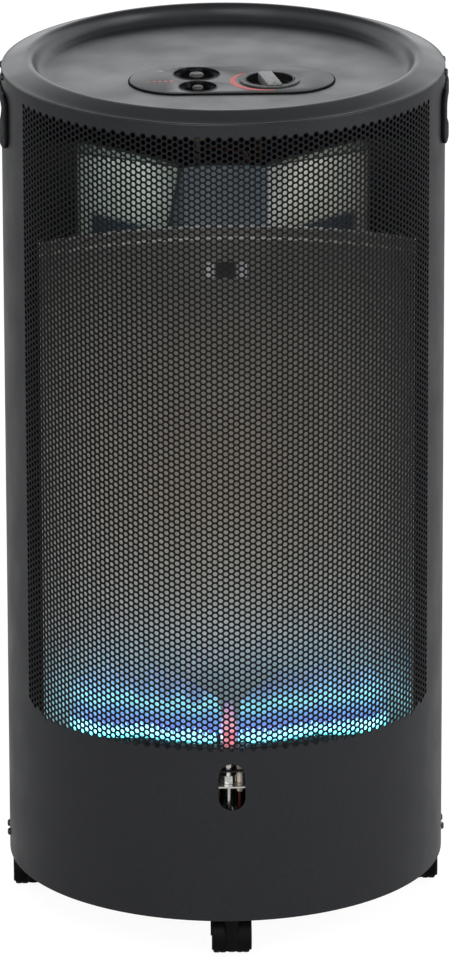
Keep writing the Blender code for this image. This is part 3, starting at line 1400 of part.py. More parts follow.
def wheel_part(name):
    half = WHEEL_WIDTH / 2
    bore = AXLE_RADIUS + GAP
    tread = WHEEL_RADIUS - WHEEL_EDGE
    profile = [
        (bore, half), (tread, half), (WHEEL_RADIUS, half - WHEEL_EDGE), (WHEEL_RADIUS, WHEEL_EDGE - half),
        (tread, -half), (bore, -half),
    ]
    return turned(name, profile, "black_plastic", closed=True, steps=WHEEL_STEPS)


def make_castor(name, x, y, turn, hood):
    swivel = bpy.data.objects.new("castor_" + name + "_axis", None)
    bpy.data.collections["gas_space_heater"].objects.link(swivel)
    swivel.location = (x, y, 0)
    swivel.rotation_euler.z = turn
    cover = add_part("castor_" + name + "_hood", hood.copy(), "black_plastic")
    cover.parent = swivel
    for side_name, side in (("left", -1), ("right", 1)):
        wheel = wheel_part("castor_" + name + "_wheel_" + side_name)
        wheel.rotation_euler.y = math.pi / 2
        wheel.location = (side * WHEEL_SPACING / 2, CASTOR_TRAIL, WHEEL_RADIUS)
        wheel.parent = swivel
    stem = turned("castor_" + name + "_stem", stem_profile(), "galvanised_steel", steps=12)
    stem.location = (x, y, 0)


def stem_profile():
    # A pin in the hood with a collar under the base plate and a head on top of it
    hood_top = WHEEL_RADIUS + HOOD_RADIUS + GAP
    head = BASE_FLOOR + GAP
    return [
        (0, head + STEM_HEAD_HEIGHT), (STEM_HEAD_RADIUS, head + STEM_HEAD_HEIGHT), (STEM_HEAD_RADIUS, head),
        (STEM_RADIUS, head), (STEM_RADIUS, BASE_BOTTOM - GAP), (STEM_COLLAR_RADIUS, BASE_BOTTOM - GAP),
        (STEM_COLLAR_RADIUS, hood_top), (STEM_RADIUS, hood_top), (STEM_RADIUS, STEM_BOTTOM),
        (0, STEM_BOTTOM),
    ]


def make_castors():
    hood = hood_mesh()
    names = ("front", "right", "rear", "left")
    for name, (x, y), turn in zip(names, castor_spots(), (0, 0, math.pi / 2, 0)):
        make_castor(name, x, y, turn, hood)
    bpy.data.meshes.remove(hood)


def main():
    start_scene()
    screw_holes = make_screw_holes()
    cup_spaces = make_cup_spaces()
    make_castors()
    make_base_plate()
    make_bottle_tray()
    make_front_casing(screw_holes, cup_spaces)
    make_rear_casing(screw_holes, cup_spaces)
    make_lid(screw_holes)
    make_screws()
    make_heat_shield()
    make_reflector()
    make_reflector_bracket()
    make_burner_tray()
    make_burner()
    make_mixing_tube()
    injector_foot = make_injector()
    make_gas_pipe(injector_foot)
    make_pilot()
    make_thermocouple()
    make_spark_electrode()
    make_pilot_bracket()
    make_control_panel()
    make_dish("ignition_dish", IGNITION_DISH_RADIUS, IGNITION_DISH_Y)
    make_dish("start_dish", START_DISH_RADIUS, START_DISH_Y)
    make_button("ignition_button", IGNITION_BUTTON_RADIUS, IGNITION_DISH_Y)
    make_button("start_button", START_BUTTON_RADIUS, START_DISH_Y)
    make_knob()
    make_gas_valve()
    make_piezo()
    make_gas_inlet()
    make_side_handle("side_handle_left", -1)
    make_side_handle("side_handle_right", 1)
    make_rear_door()
    make_hinge_leaf("casing_hinge_leaf", 1, 0)
    make_hinge_leaf("door_hinge_leaf", -1, 1)
    make_hinge_pin()
    make_door_magnet()


main()
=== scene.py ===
import math

import bmesh
import bpy
from mathutils import Matrix, Vector


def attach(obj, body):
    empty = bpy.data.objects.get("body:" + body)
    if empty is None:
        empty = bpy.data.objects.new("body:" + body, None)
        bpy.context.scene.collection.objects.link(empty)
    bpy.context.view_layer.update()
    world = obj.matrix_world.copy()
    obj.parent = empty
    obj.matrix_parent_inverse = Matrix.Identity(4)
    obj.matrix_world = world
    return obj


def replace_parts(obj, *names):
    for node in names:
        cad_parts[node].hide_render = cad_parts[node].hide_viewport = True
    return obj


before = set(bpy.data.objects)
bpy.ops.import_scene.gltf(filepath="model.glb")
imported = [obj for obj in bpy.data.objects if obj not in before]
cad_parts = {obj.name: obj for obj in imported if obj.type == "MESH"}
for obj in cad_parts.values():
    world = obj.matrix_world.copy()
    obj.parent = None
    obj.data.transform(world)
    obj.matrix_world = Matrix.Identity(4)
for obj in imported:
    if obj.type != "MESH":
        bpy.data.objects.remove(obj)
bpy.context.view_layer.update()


# Castors: four twin-wheel furniture castors moulded in matt black nylon. Each hood turns on a
# zinc-plated stem that is riveted into the base plate, and its two wheels are pressed on one axle.

def alone(piece):
    # Makes one piece the only selected one, because every operator works on the selection
    bpy.ops.object.select_all(action="DESELECT")
    piece.select_set(True)
    bpy.context.view_layer.objects.active = piece
    return piece


def named(title, size=None):
    # Names the piece just made, stretches it if a size is given, and puts its place into its mesh
    piece = bpy.context.object
    piece.name = title
    piece.data.name = title
    if size:
        piece.scale = size
    bpy.ops.object.transform_apply(location=True, rotation=True, scale=True)
    return piece


def box(title, size, place, turn=0.0):
    bpy.ops.mesh.primitive_cube_add(size=1, location=place, rotation=(0, 0, turn))
    return named(title, size)


def arc(centre, radius, start, end, points):
    # Points of a rounded corner on an outline of radii and heights, angles in degrees
    turns = [math.radians(start + (end - start) * step / (points - 1)) for step in range(points)]
    return [(centre[0] + radius * math.cos(t), centre[1] + radius * math.sin(t)) for t in turns]


def turned(title, outline, steps=96, foot=True, top=True):
    # Pulls a circle along its axis ring by ring, each ring with its own radius and height
    radius, level = outline[0]
    bpy.ops.mesh.primitive_circle_add(vertices=steps, radius=radius, location=(0, 0, level))
    piece = named(title)
    editing(piece)
    if foot:
        bpy.ops.mesh.edge_face_add()
    for next_radius, next_level in outline[1:]:
        bpy.ops.mesh.extrude_edges_move(TRANSFORM_OT_translate={"value": (0, 0, next_level - level)})
        share = next_radius / radius
        bpy.ops.transform.resize(value=(share, share, 1), center_override=(0, 0, 0))
        radius, level = next_radius, next_level
    if top:
        bpy.ops.mesh.edge_face_add()
    bpy.ops.mesh.select_all(action="SELECT")
    bpy.ops.mesh.remove_doubles(threshold=0.000005)
    bpy.ops.mesh.normals_make_consistent(inside=False)
    closed()
    return piece


def applied(piece):
    # Works every modifier of the piece into its mesh
    alone(piece)
    for step in list(piece.modifiers):
        bpy.ops.object.modifier_apply(modifier=step.name)
    return piece


def editing(piece, kind="EDGE"):
    # Opens one piece for editing, with all of its mesh chosen
    alone(piece)
    bpy.ops.object.mode_set(mode="EDIT")
    bpy.ops.mesh.select_mode(type=kind)
    bpy.ops.mesh.select_all(action="SELECT")


def closed():
    # Ends the editing
    bpy.ops.object.mode_set(mode="OBJECT")


def settled(piece, sharp=35):
    # Applies the modifiers and the place, and shades smooth all but the edges sharper than this
    applied(piece)
    bpy.ops.object.transform_apply(location=True, rotation=True, scale=True)
    bpy.ops.object.shade_smooth_by_angle(angle=math.radians(sharp))
    return piece


def picked(piece, kind, test):
    # Goes into edit mode with only those vertices, edges or faces chosen whose middle passes
    editing(piece, kind)
    bpy.ops.mesh.select_all(action="DESELECT")
    shape = bmesh.from_edit_mesh(piece.data)
    if kind == "VERT":
        found = [vert for vert in shape.verts if test(vert.co)]
    elif kind == "EDGE":
        found = [edge for edge in shape.edges if test((edge.verts[0].co + edge.verts[1].co) / 2)]
    else:
        found = [face for face in shape.faces if test(face.calc_center_median())]
    for part in found:
        part.select_set(True)
    shape.select_flush_mode()
    bmesh.update_edit_mesh(piece.data)


def combined(piece, tool, operation="DIFFERENCE"):
    # Cuts one piece with another, or joins them, and takes the tool away
    step = piece.modifiers.new(operation.lower(), "BOOLEAN")
    step.operation = operation
    step.solver = "EXACT"
    step.object = tool
    applied(piece)
    bpy.data.objects.remove(tool)
    return piece


def edges_rounded(piece, width, segments=2, angle=40):
    step = piece.modifiers.new("edges", "BEVEL")
    step.width = width
    step.segments = segments
    step.limit_method = "ANGLE"
    step.angle_limit = math.radians(angle)
    return piece


def copied(model, title, place):
    # A copy with a mesh of its own, moved in the mesh so that the object stays at the origin
    made = model.copy()
    made.data = model.data.copy()
    made.name = title
    made.data.name = title
    bpy.context.collection.objects.link(made)
    made.data.transform(place)
    return made


def clad(piece, made):
    # Gives a piece its finish
    piece.data.materials.append(made)


def wired(made, node, socket, value):
    # Gives an inlet of a node a value, or joins it to the outlet of another node
    if isinstance(value, bpy.types.NodeSocket):
        made.node_tree.links.new(value, node.inputs[socket])
    else:
        node.inputs[socket].default_value = value


def added(made, kind, *values, **settings):
    # A new node whose inlets are filled in order, or by name with _ for a space
    node = made.node_tree.nodes.new("ShaderNode" + kind)
    for number, value in enumerate(values):
        wired(made, node, number, value)
    for name, value in settings.items():
        wired(made, node, name.replace("_", " "), value)
    return node


def fed(made, socket, value):
    wired(made, made.node_tree.nodes["Principled BSDF"], socket, value)


def new_finish(title, colour, roughness, metallic=0.0, specular=0.5):
    made = bpy.data.materials.new(title)
    made.use_nodes = True
    fed(made, "Base Color", (*colour, 1.0))
    fed(made, "Roughness", roughness)
    fed(made, "Metallic", metallic)
    fed(made, "Specular IOR Level", specular)
    return made


def clouds(made, size, stretch=(1, 1, 1), detail=3.0):
    # Cloudy variation in the heater's own space, with blots about this size across
    spread = added(made, "Mapping", Vector=added(made, "TexCoord").outputs["Object"], Scale=stretch)
    cloud = added(made, "TexNoise", Vector=spread.outputs["Vector"], Scale=1.0 / size, Detail=detail)
    return cloud.outputs["Fac"]


def shades(made, value, stops):
    # Turns a value into a colour through a ramp of (position, colour) stops
    ramp = added(made, "ValToRGB", value)
    while len(ramp.color_ramp.elements) < len(stops):
        ramp.color_ramp.elements.new(0.5)
    for element, (position, colour) in zip(ramp.color_ramp.elements, stops):
        element.position = position
        element.color = (*colour, 1.0)
    return ramp.outputs["Color"]


def ranged(made, value, low, high, from_low=0.3, from_high=0.7):
    # Spreads a value over a new range
    return added(made, "MapRange", value, from_low, from_high, low, high).outputs["Result"]


def embossed(made, value, depth, **normal):
    # Raises the surface by a value, on top of an earlier pattern if its normal is given
    bump = added(made, "Bump", Strength=1.0, Distance=depth, Height=value, **normal)
    fed(made, "Normal", bump.outputs["Normal"])
    return bump.outputs["Normal"]


def mottled(made, blot, dark, light, grain=None, sheen=(), stretch=(1, 1, 1)):
    # Blots of two shades, and a grain whose roughness goes between two values
    fed(made, "Base Color", shades(made, clouds(made, blot, stretch), [(0.3, dark), (0.7, light)]))
    if grain:
        fed(made, "Roughness", ranged(made, clouds(made, grain), *sheen))


def moulded_black(title, colour, roughness, specular=0.35):
    # Moulded nylon: fine spark-eroded grain and slightly uneven sheen
    made = new_finish(title, colour, roughness, specular=specular)
    fed(made, "Roughness", ranged(made, clouds(made, 0.012), roughness - 0.07, roughness + 0.08))
    light = tuple(value * 1.6 for value in colour)
    fed(made, "Base Color", shades(made, clouds(made, 0.03), [(0.35, colour), (0.7, light)]))
    embossed(made, clouds(made, 0.0005, detail=1.0), 0.00003)
    return made


def laid(piece, place=(0, 0, 0)):
    # Lays a turned piece on its side, with its axis along X and its middle at the given place
    piece.rotation_euler.y = math.pi / 2
    piece.location = place
    return settled(piece)


castor_nylon = moulded_black("castor_nylon", (0.0022, 0.0022, 0.0026), 0.46, 0.07)
hood_half, hood_radius, hood_edge = 0.0198, 0.0230, 0.0035
well_radius, well_depth, well_middle = 0.0212, 0.030, 0.0192
trail, axle_level, wheel_middle = 0.018, 0.020, 0.0111
corner = arc((hood_radius - hood_edge, hood_half - hood_edge), hood_edge, 90, 0, 7)
hood_outline = [(0.004, hood_half)] + corner + [(r, -h) for r, h in corner[::-1]] + [(0.004, -hood_half)]
hub = (0, trail, axle_level)
castor_hood = laid(turned("castor_hood", hood_outline, 80), hub)
boss = turned("hood_boss", [(0.0075, 0.009), (0.0075, 0.0425), (0.0070, 0.0430)], 48)
combined(castor_hood, boss, "UNION")
for side in (-1, 1):
    bpy.ops.mesh.primitive_cylinder_add(
        vertices=80, radius=well_radius, depth=well_depth,
        location=(side * well_middle, trail, axle_level), rotation=(0, math.pi / 2, 0),
    )
    combined(castor_hood, bpy.context.object)
hood_foot, below = 0.009, 0.12
bpy.ops.mesh.primitive_cube_add(size=below, location=(0, 0, hood_foot - below / 2))
combined(castor_hood, bpy.context.object)
axle = laid(turned("axle", [(0.0025, -0.01725), (0.0025, 0.01725)], 24), hub)
combined(castor_hood, axle, "UNION")
settled(castor_hood)

tread = [(0.0028, 0.0065), (0.0060, 0.0065), (0.0065, 0.0058), (0.0145, 0.0058), (0.0152, 0.0065)]
tread += arc((0.0180, 0.0045), 0.0020, 90, 0, 6)
tread += [(0.0200, 0.0010), (0.0196, 0.0006)]
wheel_outline = tread + [(r, -h) for r, h in tread[::-1]] + [tread[0]]
castor_wheel = laid(turned("castor_wheel", wheel_outline, 72, foot=False, top=False))

zinc = new_finish("zinc_plate", (0.55, 0.56, 0.57), 0.32, 1.0)
mottled(zinc, 0.004, (0.40, 0.41, 0.42), (0.62, 0.63, 0.63), 0.006, (0.24, 0.42), (1, 1, 0.3))
stem_outline = [
    (0.0034, 0.0260), (0.0040, 0.0268), (0.0040, 0.0433), (0.0074, 0.0433), (0.0080, 0.0439),
    (0.0080, 0.0492), (0.0075, 0.0497), (0.0040, 0.0497), (0.0040, 0.0518), (0.0070, 0.0518),
    (0.0070, 0.0560), (0.0058, 0.0575), (0.0030, 0.0578),
]
castor_stem = settled(turned("castor_stem", stem_outline, 40))

castor_places = {
    "front": (0, -0.190, 0), "right": (0.190, 0, 0), "rear": (0, 0.190, 90), "left": (-0.190, 0, 0),
}
for name, (x, y, turn) in castor_places.items():
    spot = Matrix.Translation((x, y, 0)) @ Matrix.Rotation(math.radians(turn), 4, "Z")
    hood = copied(castor_hood, f"castor_hood_{name}", spot)
    clad(hood, castor_nylon)
    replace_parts(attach(hood, f"castor_{name}"), f"castor_{name}_hood")
    stem = copied(castor_stem, f"castor_stem_{name}", spot)
    clad(stem, zinc)
    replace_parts(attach(stem, "cabinet"), f"castor_{name}_stem")
    for side_name, side in (("left", -1), ("right", 1)):
        axle_end = spot @ Matrix.Translation((side * wheel_middle, trail, axle_level))
        wheel = copied(castor_wheel, f"castor_wheel_{name}_{side_name}", axle_end)
        clad(wheel, castor_nylon)
        body = f"castor_{name}_wheel_{side_name}"
        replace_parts(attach(wheel, body), body)
for model in (castor_hood, castor_wheel, castor_stem):
    bpy.data.objects.remove(model)


# Base plate and bottle stand: a round pan pressed from galvanised sheet with a turned-up rim, and
# a low pressed platform riveted on it that keeps the gas bottle clear of the castor stems.

galvanised = new_finish("galvanised_sheet", (0.50, 0.51, 0.52), 0.36, 1.0)
own_space = added(galvanised, "TexCoord").outputs["Object"]
spangle = added(galvanised, "TexVoronoi", Vector=own_space, Scale=90.0)
spangle_grey = added(galvanised, "RGBToBW", spangle.outputs["Color"]).outputs["Val"]
spangle_shades = [(0.2, (0.42, 0.43, 0.44)), (0.8, (0.58, 0.59, 0.60))]
fed(galvanised, "Base Color", shades(galvanised, spangle_grey, spangle_shades))
fed(galvanised, "Roughness", ranged(galvanised, clouds(galvanised, 0.03), 0.30, 0.46))
embossed(galvanised, clouds(galvanised, 0.02), 0.00004)


def sheet(piece, thickness, rounded=True):
    # Gives a pressed surface its thickness, inwards from the side that was modelled
    step = piece.modifiers.new("sheet", "SOLIDIFY")
    step.thickness = thickness
    step.offset = -1
    step.use_even_offset = rounded
    return piece


pan = [(0.002, 0.0500), (0.112, 0.0500), (0.116, 0.0508), (0.126, 0.0508), (0.130, 0.0500)]
pan += [(0.178, 0.0500), (0.2030, 0.0500)] + arc((0.2065, 0.0545), 0.0045, -90, 0, 7) + [(0.2110, 0.075)]
base_plate = sheet(turned("base_pan", pan[::-1], 180, foot=False, top=True), 0.0015)
clad(settled(base_plate), galvanised)
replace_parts(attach(base_plate, "cabinet"), "base_plate")

stand = [(0.012, 0.0603), (0.058, 0.0603), (0.060, 0.0593), (0.066, 0.0593), (0.068, 0.0603)]
stand += arc((0.0955, 0.0563), 0.0040, 90, 10, 6) + [(0.0998, 0.0521)]
bottle_stand = sheet(turned("bottle_stand", stand[::-1], 128, foot=False, top=False), 0.0015)
bottle_stand.location.y = 0.080
clad(settled(bottle_stand), galvanised)
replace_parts(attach(bottle_stand, "cabinet"), "bottle_tray")


# Rear casing: one sheet of 1.2 mm steel rolled to a half drum, with the doorway cut out of it,
# powder coated in anthracite. It is screwed to the lid's skirt and to the rim of the base plate.

def powder_coated(title, colour, roughness, specular=0.24):
    # Satin powder coat: a fine orange peel with faint clouds in its depth of colour
    made = new_finish(title, colour, roughness, specular=specular)
    light = tuple(value * 1.35 for value in colour)
    faint = clouds(made, 0.0016, detail=2.0)
    fed(made, "Base Color", shades(made, faint, [(0.40, colour), (0.62, light)]))
    fed(made, "Roughness", ranged(made, clouds(made, 0.05), roughness - 0.05, roughness + 0.06))
    peel = embossed(made, clouds(made, 0.0011, detail=1.0), 0.000035)
    embossed(made, clouds(made, 0.12, detail=1.0), 0.00035, Normal=peel)
    return made


anthracite = powder_coated("anthracite_powder_coat", (0.0112, 0.0118, 0.0142), 0.40)
# Painted shade: the punched field gets a darker, less shiny copy of the same powder coat
web_coat_painted_shade = powder_coated("punched_powder_coat_painted_shade", (0.0050, 0.0053, 0.0062), 0.48, 0.12)
drum_radius, drum_sheet = 0.2125, 0.0012
drum_foot, drum_top = 0.047, 0.8438
handle_level, handle_cup = 0.801, 0.0194
doorway = (0.080, 0.700)


def along_drum(across):
    # How far along the flat sheet a spot lies that is this far across the rolled drum
    return drum_radius * math.asin(across / drum_radius)


quarter_turn = math.pi / 2 * drum_radius
half_sheet = quarter_turn - 0.0003


def flat_sheet(title, half_width, foot, top, columns):
    # A flat sheet before rolling: X runs round the drum, Z up, its outer face at Y 0
    bpy.ops.mesh.primitive_grid_add(
        x_subdivisions=columns, y_subdivisions=1, size=1, location=(0, 0, (foot + top) / 2),
        rotation=(math.pi / 2, 0, 0),
    )
    return named(title, (2 * half_width, top - foot, 1))


def scored(piece, normal, *spots):
    # Cuts the mesh along planes square to an axis, which are this far from the origin
    editing(piece)
    for spot in spots:
        bpy.ops.mesh.select_all(action="SELECT")
        bpy.ops.mesh.bisect(plane_co=spot * Vector(normal), plane_no=normal)
    closed()


def window_cut(piece, left, right, foot, top):
    # Scores the sheet along four lines and takes out what lies between them
    scored(piece, (1, 0, 0), left, right)
    scored(piece, (0, 0, 1), foot, top)
    picked(piece, "FACE", lambda middle: left < middle.x < right and foot < middle.z < top)
    bpy.ops.mesh.delete(type="FACE")
    closed()


def bent(piece, angle):
    # Bends what lies along X round an upright axis
    step = piece.modifiers.new("bend", "SIMPLE_DEFORM")
    step.deform_method = "BEND"
    step.deform_axis = "Z"
    step.angle = angle
    return piece


def rolled(piece, azimuth=0.0, radius=drum_radius):
    # Rolls the sheet round the drum's axis and turns it to its side of the heater
    xs = [vert.co.x for vert in piece.data.vertices]
    settled(bent(piece, (max(xs) - min(xs)) / radius))
    piece.data.transform(Matrix.Rotation(azimuth, 4, "Z") @ Matrix.Translation((0, -radius, 0)))
    return piece


doorway_half = along_drum(0.1674)
rear_casing = flat_sheet("rear_casing_sheet", half_sheet, drum_foot, drum_top, 90)
window_cut(rear_casing, -doorway_half, doorway_half, *doorway)


def handle_cuts(piece):
    # Leaves room for the handles' cups at both ends of a casing sheet
    start = quarter_turn - along_drum(0.0424)
    for left, right in ((start, quarter_turn), (-quarter_turn, -start)):
        window_cut(piece, left, right, handle_level - handle_cup, handle_level + handle_cup)


handle_cuts(rear_casing)
rolled(sheet(rear_casing, drum_sheet, False), math.pi)
clad(rear_casing, anthracite)
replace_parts(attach(rear_casing, "cabinet"), "rear_casing")


# Front casing: the other half drum, with some 9,400 round holes of 4.5 mm punched on a 6 mm
# pitch for the flames' warmth, and an upright oval slot below them to watch the pilot through.

hole_pitch = 0.006
column_step = hole_pitch * math.cos(math.radians(30))
hole_columns, hole_rows = 93, 102
hole_radius, lowest_hole = 0.00228, 0.2240
cell_reach = hole_pitch / math.sqrt(3)


def punched_cell(title):
    # One hole in the middle of a six-sided patch of sheet, with corners to the left and right
    bpy.ops.mesh.primitive_circle_add(vertices=12, radius=hole_radius, rotation=(math.pi / 2, 0, 0))
    piece = named(title)
    editing(piece)
    bpy.ops.mesh.extrude_edges_move()
    spread = cell_reach / hole_radius
    bpy.ops.transform.resize(value=(spread, 1, spread), center_override=(0, 0, 0))
    closed()
    flat = math.cos(math.radians(30))

    def between_corners(c):
        return c.length > 0.0025 and 15 < math.degrees(math.atan2(c.z, c.x)) % 60 < 45

    picked(piece, "VERT", between_corners)
    bpy.ops.transform.resize(value=(flat, 1, flat), center_override=(0, 0, 0))
    closed()
    return piece


def repeated(piece, count, step):
    row = piece.modifiers.new("repeat", "ARRAY")
    row.count = count
    row.use_relative_offset = False
    row.use_constant_offset = True
    row.constant_offset_displace = step
    row.use_merge_vertices = True
    row.merge_threshold = 0.00005
    applied(piece)


side_column = (hole_columns - 1) // 2 * column_step


def hole_columns_from(title, first, rows, columns, rise):
    # Every second column of the holes, the first one so many columns in from the left
    holes = punched_cell(title)
    holes.location = (first * column_step - side_column, 0, lowest_hole + rise)
    repeated(holes, rows, (0, 0, hole_pitch))
    repeated(holes, columns, (2 * column_step, 0, 0))
    return holes


front_sheet = hole_columns_from("punched_sheet", 0, hole_rows, (hole_columns + 1) // 2, 0)
between = hole_columns_from("punched_sheet_between", 1, hole_rows - 1, hole_columns // 2, hole_pitch / 2)
alone(front_sheet)
between.select_set(True)
bpy.ops.object.join()
bpy.ops.object.transform_apply(location=True, rotation=True, scale=True)
editing(front_sheet)
bpy.ops.mesh.remove_doubles(threshold=0.00005)
closed()


def hole_of(middle):
    # The column of the nearest hole, and the height of its middle over the lowest one
    near = []
    guess = round((middle.x + side_column) / column_step)
    for column in (guess - 1, guess, guess + 1):
        shift = hole_pitch / 2 if column % 2 else 0.0
        row = round((middle.z - lowest_hole - shift) / hole_pitch)
        across = middle.x + side_column - column * column_step
        rise = row * hole_pitch + shift
        near.append((math.hypot(across, middle.z - lowest_hole - rise), column, rise))
    return min(near)[1:]


# The window's two lower corners are cut off slantwise: how high each outer column starts
corner_rises = (0.012, 0.009, 0.006, 0.009, 0.006)


def in_cut_corner(middle):
    column, rise = hole_of(middle)
    outer = min(column, hole_columns - 1 - column)
    return outer < len(corner_rises) and rise < corner_rises[outer] - 0.001


picked(front_sheet, "FACE", in_cut_corner)
bpy.ops.mesh.delete(type="FACE")
bpy.ops.mesh.select_all(action="SELECT")
bpy.ops.mesh.normals_make_consistent(inside=False)
closed()
for group in range(5):
    clad(front_sheet, anthracite)
for face in front_sheet.data.polygons:
    face.material_index = min(hole_of(face.center)[0] * 4 // hole_columns, 3)
punched_faces = len(front_sheet.data.polygons)


def drawn_out(piece, test, step, flat=None, line=(0, 0, 0)):
    # Draws the sheet's chosen outer edges on, and lays their new ends on one straight line. The
    # edges round the holes are open too, but shorter than any of these.
    shape = bmesh.new()
    shape.from_mesh(piece.data)
    shape.select_mode = {"EDGE"}
    for part in (*shape.verts, *shape.edges, *shape.faces):
        part.select = False
    for edge in shape.edges:
        first, second = edge.verts
        outer = edge.is_boundary and edge.calc_length() > hole_radius * 0.57
        if outer and test((first.co + second.co) / 2):
            edge.select_set(True)
    shape.to_mesh(piece.data)
    shape.free()
    bpy.ops.object.mode_set(mode="EDIT")
    bpy.ops.mesh.select_mode(type="EDGE")
    bpy.ops.mesh.extrude_edges_move(TRANSFORM_OT_translate={"value": step})
    if flat:
        bpy.ops.transform.resize(value=flat, center_override=line)
    closed()


# The plain margins round the holes: drawn out to a straight line, and at the sides in strips
side_line = side_column + cell_reach / 2 - 0.00002
middle_level = lowest_hole + hole_rows * hole_pitch / 2
alone(front_sheet)
for end, line in ((-1, drum_foot), (1, drum_top)):
    drawn_out(
        front_sheet, lambda middle: abs(middle.x) < side_line and end * (middle.z - middle_level) > 0,
        (0, 0, end * 0.010), (1, 1, 0), (0, 0, line),
    )
margin = side_column + cell_reach + 0.003
strips = 8
strip = (half_sheet - margin) / strips
for side in (-1, 1):
    drawn_out(
        front_sheet, lambda middle: side * middle.x > side_line, (side * 0.005, 0, 0), (0, 1, 1),
        (side * margin, 0, 0),
    )
    for number in range(strips):
        edge_line = margin + strip * number - 0.0001
        drawn_out(front_sheet, lambda middle: side * middle.x > edge_line, (side * strip, 0, 0))
for face in front_sheet.data.polygons[punched_faces:]:
    face.material_index = 4
editing(front_sheet)
bpy.ops.mesh.normals_make_consistent(inside=False)
bpy.ops.mesh.separate(type="MATERIAL")
closed()
sheets = [piece for piece in bpy.context.selected_objects if piece.type == "MESH"]


# Turns what lies flat with its length along X into the sheet's plane, with its length along Z
upright = Matrix.Rotation(math.pi / 2, 4, "X") @ Matrix.Rotation(math.pi / 2, 4, "Z")


def stadium_block(title, length, width, foot, top, steps=64):
    # A solid with half-round ends: a round bar drawn apart along X
    bpy.ops.mesh.primitive_cylinder_add(
        vertices=steps, radius=width / 2, depth=top - foot, location=(0, 0, (foot + top) / 2),
        rotation=(0, 0, math.pi / steps),
    )
    piece = named(title)
    for side in (-1, 1):
        picked(piece, "VERT", lambda corner: corner.x * side > 0)
        bpy.ops.transform.translate(value=(side * (length - width) / 2, 0, 0))
        closed()
    return piece


for piece in sheets:
    shape = bmesh.new()
    shape.from_mesh(piece.data)
    if sum(face.normal.y for face in shape.faces) > 0:
        bmesh.ops.reverse_faces(shape, faces=shape.faces)
    for face in shape.faces:
        face.material_index = 0
    shape.to_mesh(piece.data)
    shape.free()
    piece.data.materials.clear()
    surround = len(piece.data.polygons) < 20000 and min(v.co.z for v in piece.data.vertices) < 0.1
    if surround:
        piece.name = "front_casing_sheet"
        handle_cuts(piece)
    else:
        centre = sum(v.co.x for v in piece.data.vertices) / len(piece.data.vertices)
        piece.name = f"front_casing_punched_{round(centre / 0.12 + 2.5)}"
    applied(sheet(piece, drum_sheet, False))
    if surround:
        slot = stadium_block("viewing_slot", 0.0475, 0.026, -0.01, 0.01, 48)
        slot.data.transform(Matrix.Translation((0, 0, 0.1844)) @ upright)
        combined(piece, slot)
    rolled(piece)
    clad(piece, anthracite if surround else web_coat_painted_shade)
    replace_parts(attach(piece, "cabinet"), "front_casing")


# Rear door: a curved sheet door of the same powder-coated steel as the drum, for changing the gas
# bottle, with two rows of pressed louvres and a finger hole, on one long riveted piano hinge.

door_gap = 0.0008
door_half = along_drum(drum_radius * math.sin(math.radians(52)) - door_gap)
rear_door = flat_sheet("rear_door_sheet", door_half, doorway[0] + door_gap, doorway[1] - door_gap, 64)
applied(sheet(rear_door, drum_sheet, False))
louvre_lip = stadium_block("louvre_lip", 0.0575, 0.0105, -0.0003, 0.0009, 32)
louvre_slot = stadium_block("louvre_slot", 0.0550, 0.0080, -0.004, 0.004, 32)
louvre_places = [
    Matrix.Translation((along_drum(0.030 * column), 0, level)) @ upright
    for level in (0.150, 0.620) for column in range(-2, 3)
]
for place in louvre_places:
    combined(rear_door, copied(louvre_lip, "lip", place), "UNION")
for place in louvre_places:
    combined(rear_door, copied(louvre_slot, "slot", place))
finger = Matrix.Translation((-along_drum(0.146), 0, 0.390)) @ upright
ring = turned("finger_ring", [(0.0145, -0.0003), (0.0145, 0.0006), (0.0141, 0.0009)], 48)
combined(rear_door, copied(ring, "ring", finger), "UNION")
finger_hole = turned("finger_hole", [(0.0125, -0.004), (0.0125, 0.004)], 48)
combined(rear_door, copied(finger_hole, "hole", finger))
for model in (louvre_lip, louvre_slot, ring, finger_hole):
    bpy.data.objects.remove(model)
rolled(rear_door, math.pi)
clad(rear_door, anthracite)
rebate = flat_sheet("door_rebate", along_drum(0.1690), 0.6955, 0.7085, 48)
sheet(rebate, 0.0008, False)
rolled(rebate, math.pi, 0.2110)
clad(rebate, anthracite)
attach(rebate, "cabinet")
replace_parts(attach(rear_door, "door"), "rear_door")

black_steel = new_finish("blackened_steel", (0.045, 0.045, 0.048), 0.36, 1.0)
mottled(black_steel, 0.008, (0.030, 0.030, 0.032), (0.075, 0.074, 0.074), 0.004, (0.28, 0.50))


def dressed(made, *nodes):
    # CAD pieces whose shape is right keep their mesh and get their real finish
    for node in nodes:
        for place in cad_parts[node].material_slots:
            place.material = made


dressed(black_steel, "casing_hinge_leaf", "door_hinge_leaf")
dressed(zinc, "door_hinge_pin")


def outwards(azimuth_degrees, radius, level):
    # A frame on the drum's wall whose Z points outwards and whose Y points up
    turn = Matrix.Rotation(math.radians(azimuth_degrees), 4, "Z")
    return turn @ Matrix.Translation((0, -radius, level)) @ Matrix.Rotation(math.pi / 2, 4, "X")


rivet_outline = [(0.0027, 0.0), (0.0026, 0.0006), (0.0019, 0.0011), (0.0008, 0.0014)]
rivet = settled(turned("rivet", rivet_outline, 20))
leaf_radius, rivet_levels = 0.2143, (0.200, 0.295, 0.390, 0.485, 0.580)
for body, azimuth_degrees in (("cabinet", 235.9), ("door", 228.1)):
    for number, level in enumerate(rivet_levels):
        place = outwards(azimuth_degrees, leaf_radius, level)
        head = copied(rivet, f"hinge_rivet_{body}_{number + 1}", place)
        clad(head, black_steel)
        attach(head, body)
bpy.data.objects.remove(rivet)

magnet = new_finish("ferrite_magnet", (0.020, 0.020, 0.022), 0.62)
mottled(magnet, 0.002, (0.015,) * 3, (0.035,) * 3, 0.003, (0.5, 0.75))
dressed(magnet, "door_magnet")


